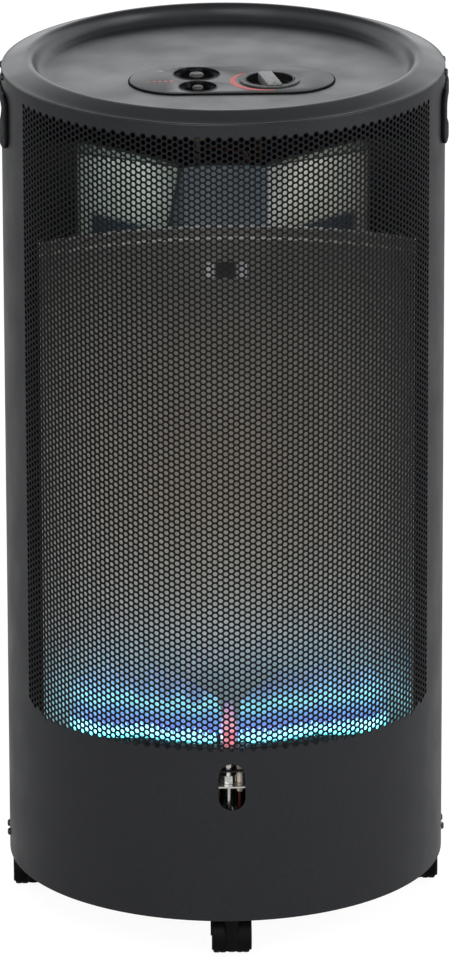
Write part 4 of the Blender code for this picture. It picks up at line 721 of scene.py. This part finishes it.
# Heat shield and reflector: folded aluminised sheet that keeps the warmth off the bottle, and in
# front of it a curved stainless reflector, browned by the flames, held at its middle by a clip.

shield_steel = new_finish("aluminised_sheet", (0.62, 0.63, 0.60), 0.30, 0.15)
fed(shield_steel, "Roughness", ranged(shield_steel, clouds(shield_steel, 0.02, (1, 1, 0.1)), 0.24, 0.40))


def placed(made, axis):
    # The distance from the drum's axis along X or Y, or the height along Z, in metres
    return added(made, "SeparateXYZ", added(made, "TexCoord").outputs["Object"]).outputs[axis]


def worked(made, operation, *values):
    # Reckons with values that are either numbers or outlets of other nodes
    step = added(made, "Math", *values)
    step.operation = operation
    return step.outputs["Value"]


def blended(made, share, first, second, how="MIX"):
    mix = made.node_tree.nodes.new("ShaderNodeMix")
    mix.data_type = "RGBA"
    mix.blend_type = how
    for socket, value in (("Factor", share), ("A", first), ("B", second)):
        wired(made, mix, socket, value)
    return mix.outputs["Result"]


# Painted reflections and shade: each facet is painted with what it mirrors of the inside, the left
# fold leans outwards towards its foot, the upper flaps get painted shade, and the reflector's painted
# shadow shows as a dark band behind its top edge
across, level = placed(shield_steel, "X"), placed(shield_steel, "Z")
width = worked(shield_steel, "ABSOLUTE", across)
lean = worked(
    shield_steel, "MULTIPLY", ranged(shield_steel, level, 0.0120, 0.0, 0.6925, 0.7590),
    ranged(shield_steel, across, 0.0, 1.0, -0.110, -0.060),
)
fold = worked(shield_steel, "MINIMUM", worked(shield_steel, "ADD", across, lean), -0.0395)
fold = worked(shield_steel, "MAXIMUM", across, fold)
plain_white, crease_painted_shade, flap_shadow = (1.0, 1.0, 1.0), (0.05, 0.05, 0.06), (0.06, 0.06, 0.07)
# Painted reflections on the facets: a painted shade line in the left fold, a painted highlight as a
# white band at the right fold, and near black beyond the wings
facet_painted_reflections = shades(shield_steel, ranged(shield_steel, fold, 0.0, 1.0, -0.2, 0.2), [
    (0.150, (0.012, 0.012, 0.014)), (0.155, (0.86, 0.98, 0.94)), (0.389, (0.80, 0.92, 0.88)),
    (0.391, crease_painted_shade), (0.395, crease_painted_shade), (0.400, (0.24, 0.29, 0.35)), (0.600, (0.20, 0.25, 0.32)),
    (0.604, plain_white), (0.635, plain_white), (0.660, (0.80, 0.80, 0.74)), (0.845, (0.85, 0.84, 0.77)),
    (0.850, (0.012, 0.012, 0.014)),
])
# Painted shade on the upper flaps
flap_rise = worked(shield_steel, "MULTIPLY_ADD", width, 0.102, level)
flap_painted_shade = shades(shield_steel, ranged(shield_steel, flap_rise, 0.0, 1.0, 0.757, 0.769), [
    (0.43, plain_white), (0.46, flap_shadow), (0.58, flap_shadow), (0.61, (0.45, 0.48, 0.47)),
])
# Painted shadow of the reflector: a dark band on the facets behind its top edge
band_shadow_share = worked(
    shield_steel, "MULTIPLY", ranged(shield_steel, level, 1.0, 0.0, 0.6890, 0.6945),
    ranged(shield_steel, width, 1.0, 0.0, 0.125, 0.129),
)
band_painted_shadow = shades(shield_steel, band_shadow_share, [(0.0, plain_white), (1.0, (0.09, 0.13, 0.20))])
shield_clouds = clouds(shield_steel, 0.05, (1, 1, 0.4), 1.0)
shield_shades = shades(shield_steel, shield_clouds, [
    (0.3, (0.62, 0.66, 0.62)), (0.7, (0.85, 0.86, 0.80)),
])
for tone in (facet_painted_reflections, flap_painted_shade, band_painted_shadow):
    shield_shades = blended(shield_steel, 1.0, shield_shades, tone, "MULTIPLY")
fed(shield_steel, "Base Color", shield_shades)
embossed(shield_steel, clouds(shield_steel, 0.004, (1, 1, 0.2), 1.0), 0.000012)
dressed(shield_steel, "heat_shield")

stained_painted_light = new_finish("heat_stained_steel", (0.42, 0.39, 0.34), 0.34, 0.35)
stain_heights = ranged(stained_painted_light, placed(stained_painted_light, "Z"), 0.0, 1.0, 0.18, 0.7012)
pale_highlight = (0.80, 0.78, 0.70)
# Heat tint browns the middle; a painted reflection makes the sheet light low down and dark high up, with
# painted highlights on the bead line and on the top edge
stain_and_painted_light_bands = shades(stained_painted_light, stain_heights, [
    (0.0, (0.48, 0.50, 0.50)), (0.22, pale_highlight), (0.45, (0.48, 0.41, 0.32)), (0.72, (0.27, 0.235, 0.19)),
    (0.90, (0.13, 0.125, 0.110)), (0.973, (0.09, 0.085, 0.075)), (0.974, pale_highlight), (0.978, pale_highlight),
    (0.979, (0.11, 0.105, 0.090)), (0.996, (0.10, 0.095, 0.085)), (0.999, plain_white),
])
stain_blots = shades(stained_painted_light, clouds(stained_painted_light, 0.09), [
    (0.35, (0.50, 0.46, 0.39)), (0.65, (0.30, 0.27, 0.23)),
])
stain_share = ranged(stained_painted_light, clouds(stained_painted_light, 0.15), 0.0, 0.30)
pale_ends = shades(stained_painted_light, stain_heights, [
    (0.3, (0.95, 0.93, 0.88)), (0.7, (0.55, 0.53, 0.49)), (0.95, (0.25, 0.24, 0.22)),
])
toward_ends = ranged(stained_painted_light, worked(stained_painted_light, "ABSOLUTE", placed(stained_painted_light, "X")), 0.0, 0.60, 0.05, 0.175)
middle_shades = blended(stained_painted_light, stain_share, stain_and_painted_light_bands, stain_blots)
fed(stained_painted_light, "Base Color", blended(stained_painted_light, toward_ends, middle_shades, pale_ends))
fed(stained_painted_light, "Roughness", ranged(stained_painted_light, clouds(stained_painted_light, 0.02, (1, 1, 0.1)), 0.30, 0.46))
embossed(stained_painted_light, clouds(stained_painted_light, 0.003, (1, 1, 0.05)), 0.00003)

reflector_radius = 0.340
reflector_half = reflector_radius * math.asin(0.1780 / reflector_radius)
reflector = flat_sheet("curved_reflector", reflector_half, 0.1848, 0.7008, 48)
picked(reflector, "EDGE", lambda middle: middle.z > 0.7007)
bpy.ops.mesh.extrude_edges_move(TRANSFORM_OT_translate={"value": (0, 0.0006, 0.0002)})
bpy.ops.mesh.extrude_edges_move(TRANSFORM_OT_translate={"value": (0, 0.0040, 0)})
closed()
bent(sheet(reflector, 0.0009), -2 * reflector_half / reflector_radius)
reflector.location.y = -0.063
clad(settled(reflector), stained_painted_light)
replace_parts(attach(reflector, "cabinet"), "concave_reflector")
clip_steel = new_finish("bracket_steel", (0.30, 0.30, 0.30), 0.36, 0.7)
fed(clip_steel, "Roughness", ranged(clip_steel, clouds(clip_steel, 0.006), 0.30, 0.5))
clip_ends = shades(clip_steel, ranged(clip_steel, placed(clip_steel, "X"), 0.0, 1.0, -0.02, 0.02), [
    (0.0, (0.60, 0.60, 0.62)), (0.20, (0.50, 0.50, 0.52)), (0.26, (0.035, 0.033, 0.032)),
    (0.72, (0.030, 0.028, 0.028)), (0.80, (0.42, 0.42, 0.44)), (1.0, (0.55, 0.55, 0.56)),
])
fed(clip_steel, "Base Color", clip_ends)
dressed(clip_steel, "reflector_bracket")


# Burner: a sheet tray across the drum, two curved burner tubes fed by a manifold, a venturi with
# its brass injector below, and the pilot with thermocouple and spark electrode at the front.

tray_steel = new_finish("burner_tray_sheet", (0.50, 0.51, 0.52), 0.34, 1.0)
mottled(tray_steel, 0.05, (0.38, 0.37, 0.36), (0.58, 0.58, 0.57), 0.01, (0.26, 0.44))
dressed(tray_steel, "burner_tray")
sooty = new_finish("sooty_steel", (0.06, 0.057, 0.055), 0.55, 0.6)
mottled(sooty, 0.012, (0.012, 0.011, 0.011), (0.04, 0.037, 0.034), 0.006, (0.45, 0.7))
dressed(sooty, "burner_left", "burner_right", "burner_manifold", "pilot_bracket")
dressed(galvanised, "mixing_tube", "injector_holder")


def tarnished_and_shaded(title, bright, dull, roughness):
    # Bare metal in cloudy shades, with painted shade that darkens it above the burner's foot
    made = new_finish(title, bright, roughness, 1.0)
    unshaded = shades(made, clouds(made, 0.010), [(0.35, bright), (0.68, dull)])
    darker, dark = tuple(0.12 * value for value in dull), tuple(0.2 * value for value in dull)
    # Painted shade: the same metal much darker higher up, out of the light
    shaded_above = shades(made, clouds(made, 0.014), [(0.35, darker), (0.68, dark)])
    shade_share = ranged(made, placed(made, "Z"), 0.0, 1.0, 0.24, 0.45)
    fed(made, "Base Color", blended(made, shade_share, unshaded, shaded_above))
    fed(made, "Roughness", ranged(made, clouds(made, 0.005), roughness - 0.07, roughness + 0.12))
    return made


brass = tarnished_and_shaded("turned_brass", (0.78, 0.60, 0.27), (0.55, 0.40, 0.17), 0.26)
copper = tarnished_and_shaded("drawn_copper", (0.30, 0.15, 0.09), (0.14, 0.075, 0.05), 0.34)
bright_tube = tarnished_and_shaded("bright_steel_tube", (0.66, 0.66, 0.66), (0.50, 0.50, 0.49), 0.26)
nickel = tarnished_and_shaded("nickel_plated_brass", (0.70, 0.70, 0.67), (0.48, 0.48, 0.46), 0.24)
dressed(nickel, "pilot_burner")
dressed(brass, "injector", "gas_valve", "gas_inlet", "valve_spindle")
dressed(copper, "gas_pipe", "thermocouple")
dressed(bright_tube, "pilot_tube")
porcelain = new_finish("beige_porcelain", (0.70, 0.62, 0.50), 0.20)
mottled(porcelain, 0.004, (0.66, 0.57, 0.45), (0.76, 0.69, 0.58))
fed(porcelain, "Coat Weight", 0.6)
dressed(porcelain, "spark_electrode")
silicone = new_finish("red_silicone_lead", (0.35, 0.03, 0.02), 0.50)
mottled(silicone, 0.01, (0.040, 0.003, 0.002), (0.07, 0.006, 0.004), 0.004, (0.42, 0.6))
dressed(silicone, "ignition_lead")
dressed(castor_nylon, "piezo_igniter")


# Flames: rows of small blue gas flames over the two burner tubes, each a bright cone, with a thin
# violet haze where they join above. They are burning gas, so they belong to the picture only.

flame_radius, flame_foot, haze_top = 0.165, 0.2118, 0.292


def glowing(title, stops, low, high, opacity, strength):
    # Light without a surface: its colour goes with the height and thins out at the edges
    made = bpy.data.materials.new(title)
    made.use_nodes = True
    made.node_tree.nodes.remove(made.node_tree.nodes["Principled BSDF"])
    width = worked(made, "ABSOLUTE", placed(made, "X"))
    fade = worked(made, "MULTIPLY", ranged(made, width, 1.0, 0.0, 0.138, 0.158), strength)
    wave = ranged(made, clouds(made, 0.016, (1, 1, 0.35), 2.0), 1.0 - opacity, 1.0 + opacity)
    rise = worked(made, "MULTIPLY", wave, ranged(made, placed(made, "Z"), 0.0, 1.0, low, high))
    light = added(made, "Emission", shades(made, rise, stops), fade).outputs["Emission"]
    clear = added(made, "BsdfTransparent").outputs["BSDF"]
    surface = added(made, "AddShader", light, clear).outputs["Shader"]
    wired(made, made.node_tree.nodes["Material Output"], "Surface", surface)
    return made


def drawn_forward(across):
    # How much farther forward the ends of the burner tubes reach than a round arc
    return 0.056 * max(0.0, (abs(across) - 0.085) / 0.070)


haze_glow = glowing("flame_haze", [
    (0.0, (0.08, 0.24, 0.50)), (0.16, (0.035, 0.07, 0.50)), (0.32, (0.04, 0.20, 0.52)),
    (0.46, (0.15, 0.58, 0.66)), (0.56, (0.05, 0.20, 0.40)), (0.70, (0.010, 0.022, 0.16)),
    (0.86, (0.002, 0.004, 0.035)), (1.0, (0.0, 0.0, 0.0)),
], flame_foot, haze_top, 0.12, 0.57)
cone_glow = glowing("flame_cone", [
    (0.0, (0.10, 0.75, 0.85)), (0.30, (0.35, 0.95, 1.0)), (0.75, (0.10, 0.40, 0.80)),
    (1.0, (0.02, 0.05, 0.30)),
], flame_foot, 0.236, 0.20, 0.85)
for name, side in (("left", -1), ("right", 1)):
    start, end = math.radians(1.5), math.radians(70)
    reach = flame_radius * (end - start)
    curtain = flat_sheet(f"flame_haze_{name}", reach / 2, flame_foot, haze_top, 40)
    scored(curtain, (0, 0, 1), 0.224, 0.238, 0.252, 0.266, 0.280)
    for vert in curtain.data.vertices:
        share = abs(vert.co.x) / (reach / 2)
        rise = (vert.co.z - flame_foot) / (haze_top - flame_foot)
        vert.co.z = flame_foot + (vert.co.z - flame_foot) * (1.0 - 0.46 * share ** 2.0)
        vert.co.x *= 1.0 - 0.07 * rise
    sheet(curtain, 0.006, False)
    rolled(curtain, 0, flame_radius)
    middle = side * (start + end) / 2
    curtain.data.transform(Matrix.Rotation(middle, 4, "Z"))
    for vert in curtain.data.vertices:
        vert.co.y -= drawn_forward(vert.co.x)
    clad(curtain, haze_glow)
    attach(curtain, "cabinet")
    cone = turned("flame_cone", [(0.0026, 0.0), (0.0029, 0.004), (0.0022, 0.009), (0.0006, 0.015)], 8)
    for number in range(32):
        turn = side * math.radians(3.5 + 2.12 * number)
        x, y = flame_radius * math.sin(turn), -flame_radius * math.cos(turn)
        place = Matrix.Translation((x, y - drawn_forward(x), flame_foot))
        flame = copied(cone, f"flame_{name}_{number + 1}", place)
        clad(flame, cone_glow)
        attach(flame, "cabinet")
    bpy.data.objects.remove(cone)
pilot_foot = 0.2130
pilot_glow = glowing("pilot_flame_glow", [
    (0.0, (0.75, 0.20, 0.22)), (0.5, (0.55, 0.16, 0.24)), (0.85, (0.22, 0.10, 0.30)),
    (1.0, (0.0, 0.0, 0.0)),
], pilot_foot, 0.262, 0.15, 0.62)
pilot = turned("pilot_flame", [(0.0040, 0.0), (0.0078, 0.009), (0.0070, 0.026), (0.0030, 0.046)], 16)
pilot.data.transform(Matrix.Translation((-0.002, -0.178, pilot_foot)))
clad(pilot, pilot_glow)
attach(pilot, "cabinet")


# Top lid: one pressed steel cover with a sunken round floor and a rolled outer edge, powder coated
# like the drum. Its skirt drops inside both casings and takes four cross-head screws.

lid = [
    (0.004, 0.8374), (0.060, 0.8374), (0.120, 0.8374), (0.160, 0.8374), (0.1690, 0.83745),
    (0.1725, 0.8378), (0.1750, 0.8386), (0.1769, 0.8399), (0.1785, 0.8418), (0.1800, 0.8443),
    (0.1813, 0.8469), (0.1826, 0.8493), (0.1842, 0.8511), (0.1861, 0.8521), (0.1882, 0.8525),
    (0.1901, 0.8522), (0.1922, 0.8515), (0.1960, 0.8501), (0.2010, 0.8482), (0.2050, 0.8466),
    (0.2080, 0.84545), *arc((0.2093, 0.84195), 0.0032, 72, 40, 4), (0.21225, 0.84430),
    (0.2124, 0.84398), (0.2110, 0.84395), (0.2110, 0.8340),
]
top_lid = applied(sheet(turned("top_cover", lid[::-1], 240, foot=False, top=True), 0.0012))
panel_middle = Matrix.Translation((0.007, -0.0375, 0))
panel_hole = stadium_block("panel_hole", 0.183, 0.080, 0.830, 0.842, 96)
panel_hole.data.transform(panel_middle)
settled(combined(top_lid, panel_hole))
lid_coat = powder_coated("lid_powder_coat", (0.0110, 0.0116, 0.0135), 0.34, 0.52)
clad(top_lid, lid_coat)
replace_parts(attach(top_lid, "cabinet"), "top_lid")


def cross_head(title):
    # A domed screw head with a washer face and a cross recess
    head = turned(title, [
        (0.0017, -0.0060), (0.0017, 0.0), (0.0038, 0.0), (0.0038, 0.0005), (0.0034, 0.0006),
        (0.0033, 0.0014), (0.0027, 0.0021), (0.0016, 0.0024),
    ], 32)
    for turn in (0, math.pi / 2):
        bpy.ops.mesh.primitive_cube_add(size=1, location=(0, 0, 0.0021), rotation=(0, 0, turn))
        bpy.context.object.scale = (0.0038, 0.0008, 0.0020)
        combined(head, bpy.context.object)
    return settled(head)


screw_head = cross_head("screw_head")
wall_radius, lid_screw_level, base_screw_level = 0.2127, 0.8395, 0.0655
lid_screw_turn, base_screw_turn = math.degrees(0.022 / drum_radius), 3.2
for side_name, side in (("left", -1), ("right", 1)):
    for end_name, end in (("front", -1), ("rear", 1)):
        place = outwards(side * (90 + end * lid_screw_turn), wall_radius, lid_screw_level)
        node = f"lid_screw_{end_name}_{side_name}"
        head = copied(screw_head, f"cover_screw_{end_name}_{side_name}", place)
        clad(head, black_steel)
        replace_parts(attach(head, "cabinet"), node)
        place = outwards(side * (90 + end * base_screw_turn), wall_radius, base_screw_level)
        head = copied(screw_head, f"base_screw_{end_name}_{side_name}", place)
        clad(head, black_steel)
        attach(head, "cabinet")
bpy.data.objects.remove(screw_head)


# Control panel: an oval plate of grey-coated steel on a thin black seal in the lid's floor, with
# holes for the knob and both bowls, and a plain red scale and marks printed on it. The seal is a
# painted shadow: it draws the dark line in the gap round the plate.

# Painted shadow: a black band under the plate's edge for the shade in the gap round it
seal_gap_shadow = stadium_block("panel_seal_gap_shadow", 0.1976, 0.0946, 0.83740, 0.83840, 128)
combined(seal_gap_shadow, stadium_block("seal_inside", 0.1951, 0.0921, 0.830, 0.845, 128))
seal_gap_shadow.data.transform(panel_middle)
seal_shadow_black = moulded_black("seal_shadow_black", (0.003, 0.003, 0.003), 0.70, 0.05)
clad(settled(seal_gap_shadow), seal_shadow_black)
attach(seal_gap_shadow, "cabinet")

knob_x, knob_y = 0.043, -0.043
bowl_x, ignition_y, start_y = -0.026, -0.0175, -0.0615
panel = stadium_block("oval_panel", 0.195, 0.092, 0.8377, 0.8393, 128)
panel.data.transform(panel_middle)
for x, y, radius in ((knob_x, knob_y, 0.0237), (bowl_x, ignition_y, 0.0226), (bowl_x, start_y, 0.0186)):
    hole = turned("panel_bore", [(radius, 0.830), (radius, 0.845)], 64)
    hole.data.transform(Matrix.Translation((x, y, 0)))
    combined(panel, hole)
edges_rounded(panel, 0.0007, 3)
settled(panel, 50)
panel_grey = powder_coated("panel_grey_coat", (0.018, 0.018, 0.020), 0.36, 0.36)
clad(panel, panel_grey)
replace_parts(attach(panel, "cabinet"), "control_panel")

red_print = new_finish("red_print", (0.55, 0.06, 0.05), 0.45)
mottled(red_print, 0.003, (0.48, 0.045, 0.040), (0.66, 0.10, 0.09))
pale_print = new_finish("pale_print", (0.50, 0.50, 0.50), 0.45)
mottled(pale_print, 0.003, (0.42,) * 3, (0.56,) * 3)
print_level = 0.83935

# The red scale is a strip that widens from both ends, bent round the knob
scale_radius, scale_reach = 0.033, math.radians(148)
scale_length = scale_radius * scale_reach
bpy.ops.mesh.primitive_grid_add(x_subdivisions=72, y_subdivisions=1, size=1)
scale = named("red_scale", (scale_length, 0.001, 1))
for vert in scale.data.vertices:
    along = min(max(vert.co.x / scale_length + 0.5, 0.0), 1.0)
    width = 0.0008 + 0.0050 * abs(math.sin(math.pi * along)) ** 0.8
    vert.co.y = -width if vert.co.y < 0 else 0.0
settled(bent(sheet(scale, 0.00015), scale_reach))
scale_middle = math.radians(204 + 90)
scale.data.transform(Matrix.Translation((knob_x, knob_y, print_level + 0.0001))
                     @ Matrix.Rotation(scale_middle, 4, "Z") @ Matrix.Translation((0, -scale_radius, 0)))
clad(scale, red_print)
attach(scale, "cabinet")


def printed_bar(title, place, length, width, turn, ink):
    bar = box(title, (length, width, 0.00012), (*place, print_level), turn)
    edges_rounded(bar, 0.00005, 1)
    clad(settled(bar), ink)
    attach(bar, "cabinet")


for number in range(5):
    height = 0.0020 + 0.0008 * number
    place = (-0.0725 + 0.0055 * number, -0.046 + height / 2)
    printed_bar(f"level_mark_{number + 1}", place, 0.0026, height, 0, red_print)
for number in range(3):
    turn = math.radians(30 + 60 * number)
    printed_bar(f"spark_mark_{number + 1}", (-0.0600, -0.0080), 0.0070, 0.0007, turn, pale_print)


# Bowls and push buttons: two bowls moulded in glossy black, clipped into the panel, each with a
# sprung grey button in its middle: the larger one for the spark, the smaller one to start the gas.

gloss_black = new_finish("glossy_black_moulding", (0.003, 0.003, 0.0035), 0.10, specular=0.04)
mottled(gloss_black, 0.01, (0.002, 0.002, 0.0025), (0.004, 0.004, 0.005), 0.008, (0.07, 0.16))
grey_plastic = new_finish("grey_moulding", (0.20, 0.20, 0.205), 0.42)
mottled(grey_plastic, 0.004, (0.18, 0.18, 0.185), (0.23, 0.23, 0.235), 0.006, (0.36, 0.5))
embossed(grey_plastic, clouds(grey_plastic, 0.0006, detail=1.0), 0.00002)
ring_grey = new_finish("dark_grey_ring", (0.05, 0.05, 0.052), 0.40, specular=0.36)
mottled(ring_grey, 0.004, (0.034,) * 3, (0.052,) * 3, 0.006, (0.34, 0.48))

for name, rim, button_radius, y in (
    ("ignition", 0.023, 0.0070, ignition_y), ("start", 0.019, 0.0052, start_y),
):
    mouth, flat = rim - 0.0014, 0.42 * (rim - 0.0014)
    bowl = [(0.0031, 0.8303), (flat, 0.8303)]
    bowl += [(flat + (mouth - flat) * math.sin(t), 0.8393 - 0.0090 * math.cos(t))
             for t in (math.radians(9 * step) for step in range(1, 11))]
    bowl += [(mouth + 0.0002, 0.83955), (rim - 0.0004, 0.83965), (rim - 0.0001, 0.8396),
             (rim, 0.83940), (rim - 0.0004, 0.83936)]
    bowl += [(flat + (rim - 0.0020 - flat) * math.cos(t), 0.8388 - 0.0097 * math.sin(t))
             for t in (math.radians(15 * step) for step in range(1, 7))]
    bowl += [(0.0031, 0.8291), bowl[0]]
    dish = turned(f"{name}_bowl", bowl, 96, foot=False, top=False)
    dish.data.transform(Matrix.Translation((bowl_x, y, 0)))
    clad(settled(dish), gloss_black)
    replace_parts(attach(dish, "cabinet"), f"{name}_dish")
    cap = turned(f"{name}_push_button", [
        (0.0028, 0.8218), (0.0028, 0.8365), (button_radius - 0.0005, 0.8365), (button_radius, 0.8370),
        *arc((button_radius - 0.0020, 0.8378), 0.0020, 0, 80, 7), (0.62 * button_radius, 0.83995),
        (0.45 * button_radius, 0.83985), (0.0010, 0.8397),
    ], 64)
    cap.data.transform(Matrix.Translation((bowl_x, y, 0)))
    clad(settled(cap), ring_grey)
    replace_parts(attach(cap, f"{name}_button"), f"{name}_button")


# Control knob: a black moulded cup with a grey grip bar across it and a notch as its pointer,
# pushed onto the valve's spindle and turned by hand inside a grey ring that is clipped in the panel.

knob_place = Matrix.Translation((knob_x, knob_y, 0))
bezel = turned("knob_ring", [
    (0.0239, 0.83945), (0.0289, 0.83945), (0.0289, 0.83985), *arc((0.0281, 0.83985), 0.0008, 0, 90, 5),
    (0.0246, 0.84075), (0.0241, 0.8406), (0.0239, 0.8403), (0.0239, 0.83945),
], 96, foot=False, top=False)
bezel.data.transform(knob_place)
clad(settled(bezel), ring_grey)
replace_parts(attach(bezel, "cabinet"), "knob_bezel")

knob_cup = turned("knob_cup", [
    (0.0070, 0.8294), (0.0070, 0.8319), (0.0222, 0.8319), *arc((0.0222, 0.8330), 0.0011, -90, 0, 5),
    (0.0233, 0.8405), *arc((0.0229, 0.8405), 0.0004, 0, 90, 4), (0.0228, 0.8409), (0.0225, 0.8406),
    (0.0225, 0.8352), *arc((0.0212, 0.8352), 0.0013, 0, -90, 5), (0.0020, 0.8339),
], 96)
knob_cup.data.transform(knob_place)
knob_black = moulded_black("knob_black", (0.006, 0.006, 0.0065), 0.30)
clad(settled(knob_cup), knob_black)
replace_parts(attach(knob_cup, "knob"), "control_knob")

bar = turned("knob_grip", [(0.0230, 0.8335), (0.0230, 0.8420)], 96)
combined(bar, box("grip_sides", (0.0136, 0.060, 0.020), (0, 0, 0.8390)), "INTERSECT")
combined(bar, box("notch", (0.0022, 0.0080, 0.0020), (0, -0.0200, 0.8420)))
edges_rounded(bar, 0.0006, 3)
bar.data.transform(knob_place @ Matrix.Rotation(math.radians(11), 4, "Z"))
clad(settled(bar, 40), grey_plastic)
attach(bar, "knob")


# Side handles: black moulded plates on both sides, curved with the drum, each with a deep cup
# for four fingers; they cover the ends of the casings' seams.

handle_black = moulded_black("handle_black", (0.0035, 0.0035, 0.0040), 0.55, 0.08)


def rounded_block(title, length, width, radius, foot, top):
    # An oblong block with rounded upright edges, from foot to top along Z
    block = box(title, (length, width, top - foot), (0, 0, (foot + top) / 2))
    picked(block, "EDGE", lambda middle: abs(middle.x) > 0.4 * length and abs(middle.y) > 0.4 * width)
    bpy.ops.mesh.bevel(offset=radius, segments=8, affect="EDGES")
    closed()
    return block


handle = rounded_block("handle_plate", 0.1044, 0.054, 0.013, 0.0002, 0.0035)
applied(edges_rounded(handle, 0.0010, 3, 50))
combined(handle, rounded_block("cup_back", 0.0790, 0.0385, 0.0110, -0.0226, 0.0010), "UNION")
cup_hollow = rounded_block("cup_hollow", 0.0760, 0.0355, 0.0100, -0.0206, 0.0100)
picked(cup_hollow, "FACE", lambda middle: middle.z < -0.020)
bpy.ops.transform.resize(value=(0.93, 0.86, 1), center_override=(0, 0, 0))
bpy.ops.mesh.bevel(offset=0.0050, segments=5, affect="EDGES")
closed()
combined(handle, cup_hollow)
scored(handle, (1, 0, 0), *(step * 0.0070 for step in range(-7, 8)))
handle.data.transform(Matrix.Translation((0, 0, handle_level)) @ Matrix.Rotation(math.pi / 2, 4, "X"))
edges_rounded(handle, 0.0006, 2, 50)
rolled(handle, 0)
for name, side in (("left", -1), ("right", 1)):
    plate = copied(handle, f"handle_{name}", Matrix.Rotation(side * math.pi / 2, 4, "Z"))
    clad(plate, handle_black)
    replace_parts(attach(plate, "cabinet"), f"side_handle_{name}")
bpy.data.objects.remove(handle)


# Floor, lights and camera: a pale studio floor under soft light, seen as in the photograph.

bpy.ops.mesh.primitive_circle_add(vertices=96, radius=16.0, fill_type="NGON")
floor = named("studio_floor")
paper = new_finish("studio_paper", (0.82, 0.82, 0.82), 0.9)
white = added(paper, "Emission", Strength=1.17).outputs["Emission"]
share = worked(paper, "MULTIPLY", added(paper, "LightPath").outputs["Is Camera Ray"], 0.80)
plain = paper.node_tree.nodes["Principled BSDF"].outputs["BSDF"]
lit = added(paper, "MixShader", share, plain, white).outputs["Shader"]
wired(paper, paper.node_tree.nodes["Material Output"], "Surface", lit)
clad(floor, paper)

room = bpy.data.worlds.new("studio_room")
bpy.context.scene.world = room
room.use_nodes = True
dim = room.node_tree.nodes["Background"]
wired(room, dim, "Color", (1.0, 1.0, 1.0, 1.0))
wired(room, dim, "Strength", 0.55)
seen = added(room, "LightPath").outputs
direct = worked(room, "MAXIMUM", seen["Is Camera Ray"], seen["Is Glossy Ray"])
direct = worked(room, "MAXIMUM", direct, seen["Is Transmission Ray"])

# What shiny surfaces mirror: a bright wall low down and a dim ceiling
way_up = added(room, "SeparateXYZ", added(room, "TexCoord").outputs["Generated"]).outputs["Z"]
ceiling = added(room, "MapRange", way_up, 0.40, 0.62, 1.60, 0.22)
ceiling.interpolation_type = "SMOOTHSTEP"
mirrored = worked(room, "MAXIMUM", ceiling.outputs["Result"], seen["Is Camera Ray"])
bright = added(room, "Background", (0.96, 0.98, 1.0, 1.0), mirrored).outputs["Background"]
room_mix = added(room, "MixShader", direct, dim.outputs["Background"], bright).outputs["Shader"]
wired(room, room.node_tree.nodes["World Output"], "Surface", room_mix)


def new_lamp(title, kind, place, aim, power):
    lamp = bpy.data.lights.new(title, kind)
    lamp.energy = power
    holder = bpy.data.objects.new(title, lamp)
    bpy.context.collection.objects.link(holder)
    holder.location = place
    holder.rotation_euler = (Vector(aim) - Vector(place)).to_track_quat("-Z", "Y").to_euler()
    return lamp


for title, place, aim, size, power in (
    ("front_softbox", (-0.7, -3.0, 2.2), (0, 0, 0.5), (1.8, 1.8), 42),
    ("right_softbox", (2.6, -1.4, 1.6), (0, 0, 0.45), (1.0, 2.2), 34),
):
    lamp = new_lamp(title, "AREA", place, aim, power)
    lamp.shape = "RECTANGLE"
    lamp.size, lamp.size_y = size
for title, side in (("left_spot_inside", -1), ("right_spot_inside", 1)):
    lamp = new_lamp(title, "SPOT", (side * 0.155, -0.118, 0.770), (side * 0.095, -0.012, 0.728), 0.28)
    lamp.shadow_soft_size = 0.02
    lamp.spot_size = math.radians(52)
    lamp.spot_blend = 0.6

# The camera stands far off and turns round a spot at about half the heater's height
azimuth, elevation, distance = math.radians(-1.7), math.radians(18.703), 8.075
aim_level = 0.4236
level_reach = math.cos(elevation)
back = Vector((
    math.sin(azimuth) * level_reach, -math.cos(azimuth) * level_reach, math.sin(elevation),
))
camera = bpy.data.objects.new("camera", bpy.data.cameras.new("camera"))
bpy.context.collection.objects.link(camera)
camera.data.lens = 311.4
camera.data.sensor_width = 36
camera.location = Vector((0, 0, aim_level)) + back * distance
aim = (-back).to_track_quat("-Z", "Y").to_matrix().to_4x4()
camera.rotation_euler = (aim @ Matrix.Rotation(math.radians(-0.175), 4, "Z")).to_euler()
bpy.context.scene.camera = camera
bpy.context.scene.view_settings.view_transform = "Standard"
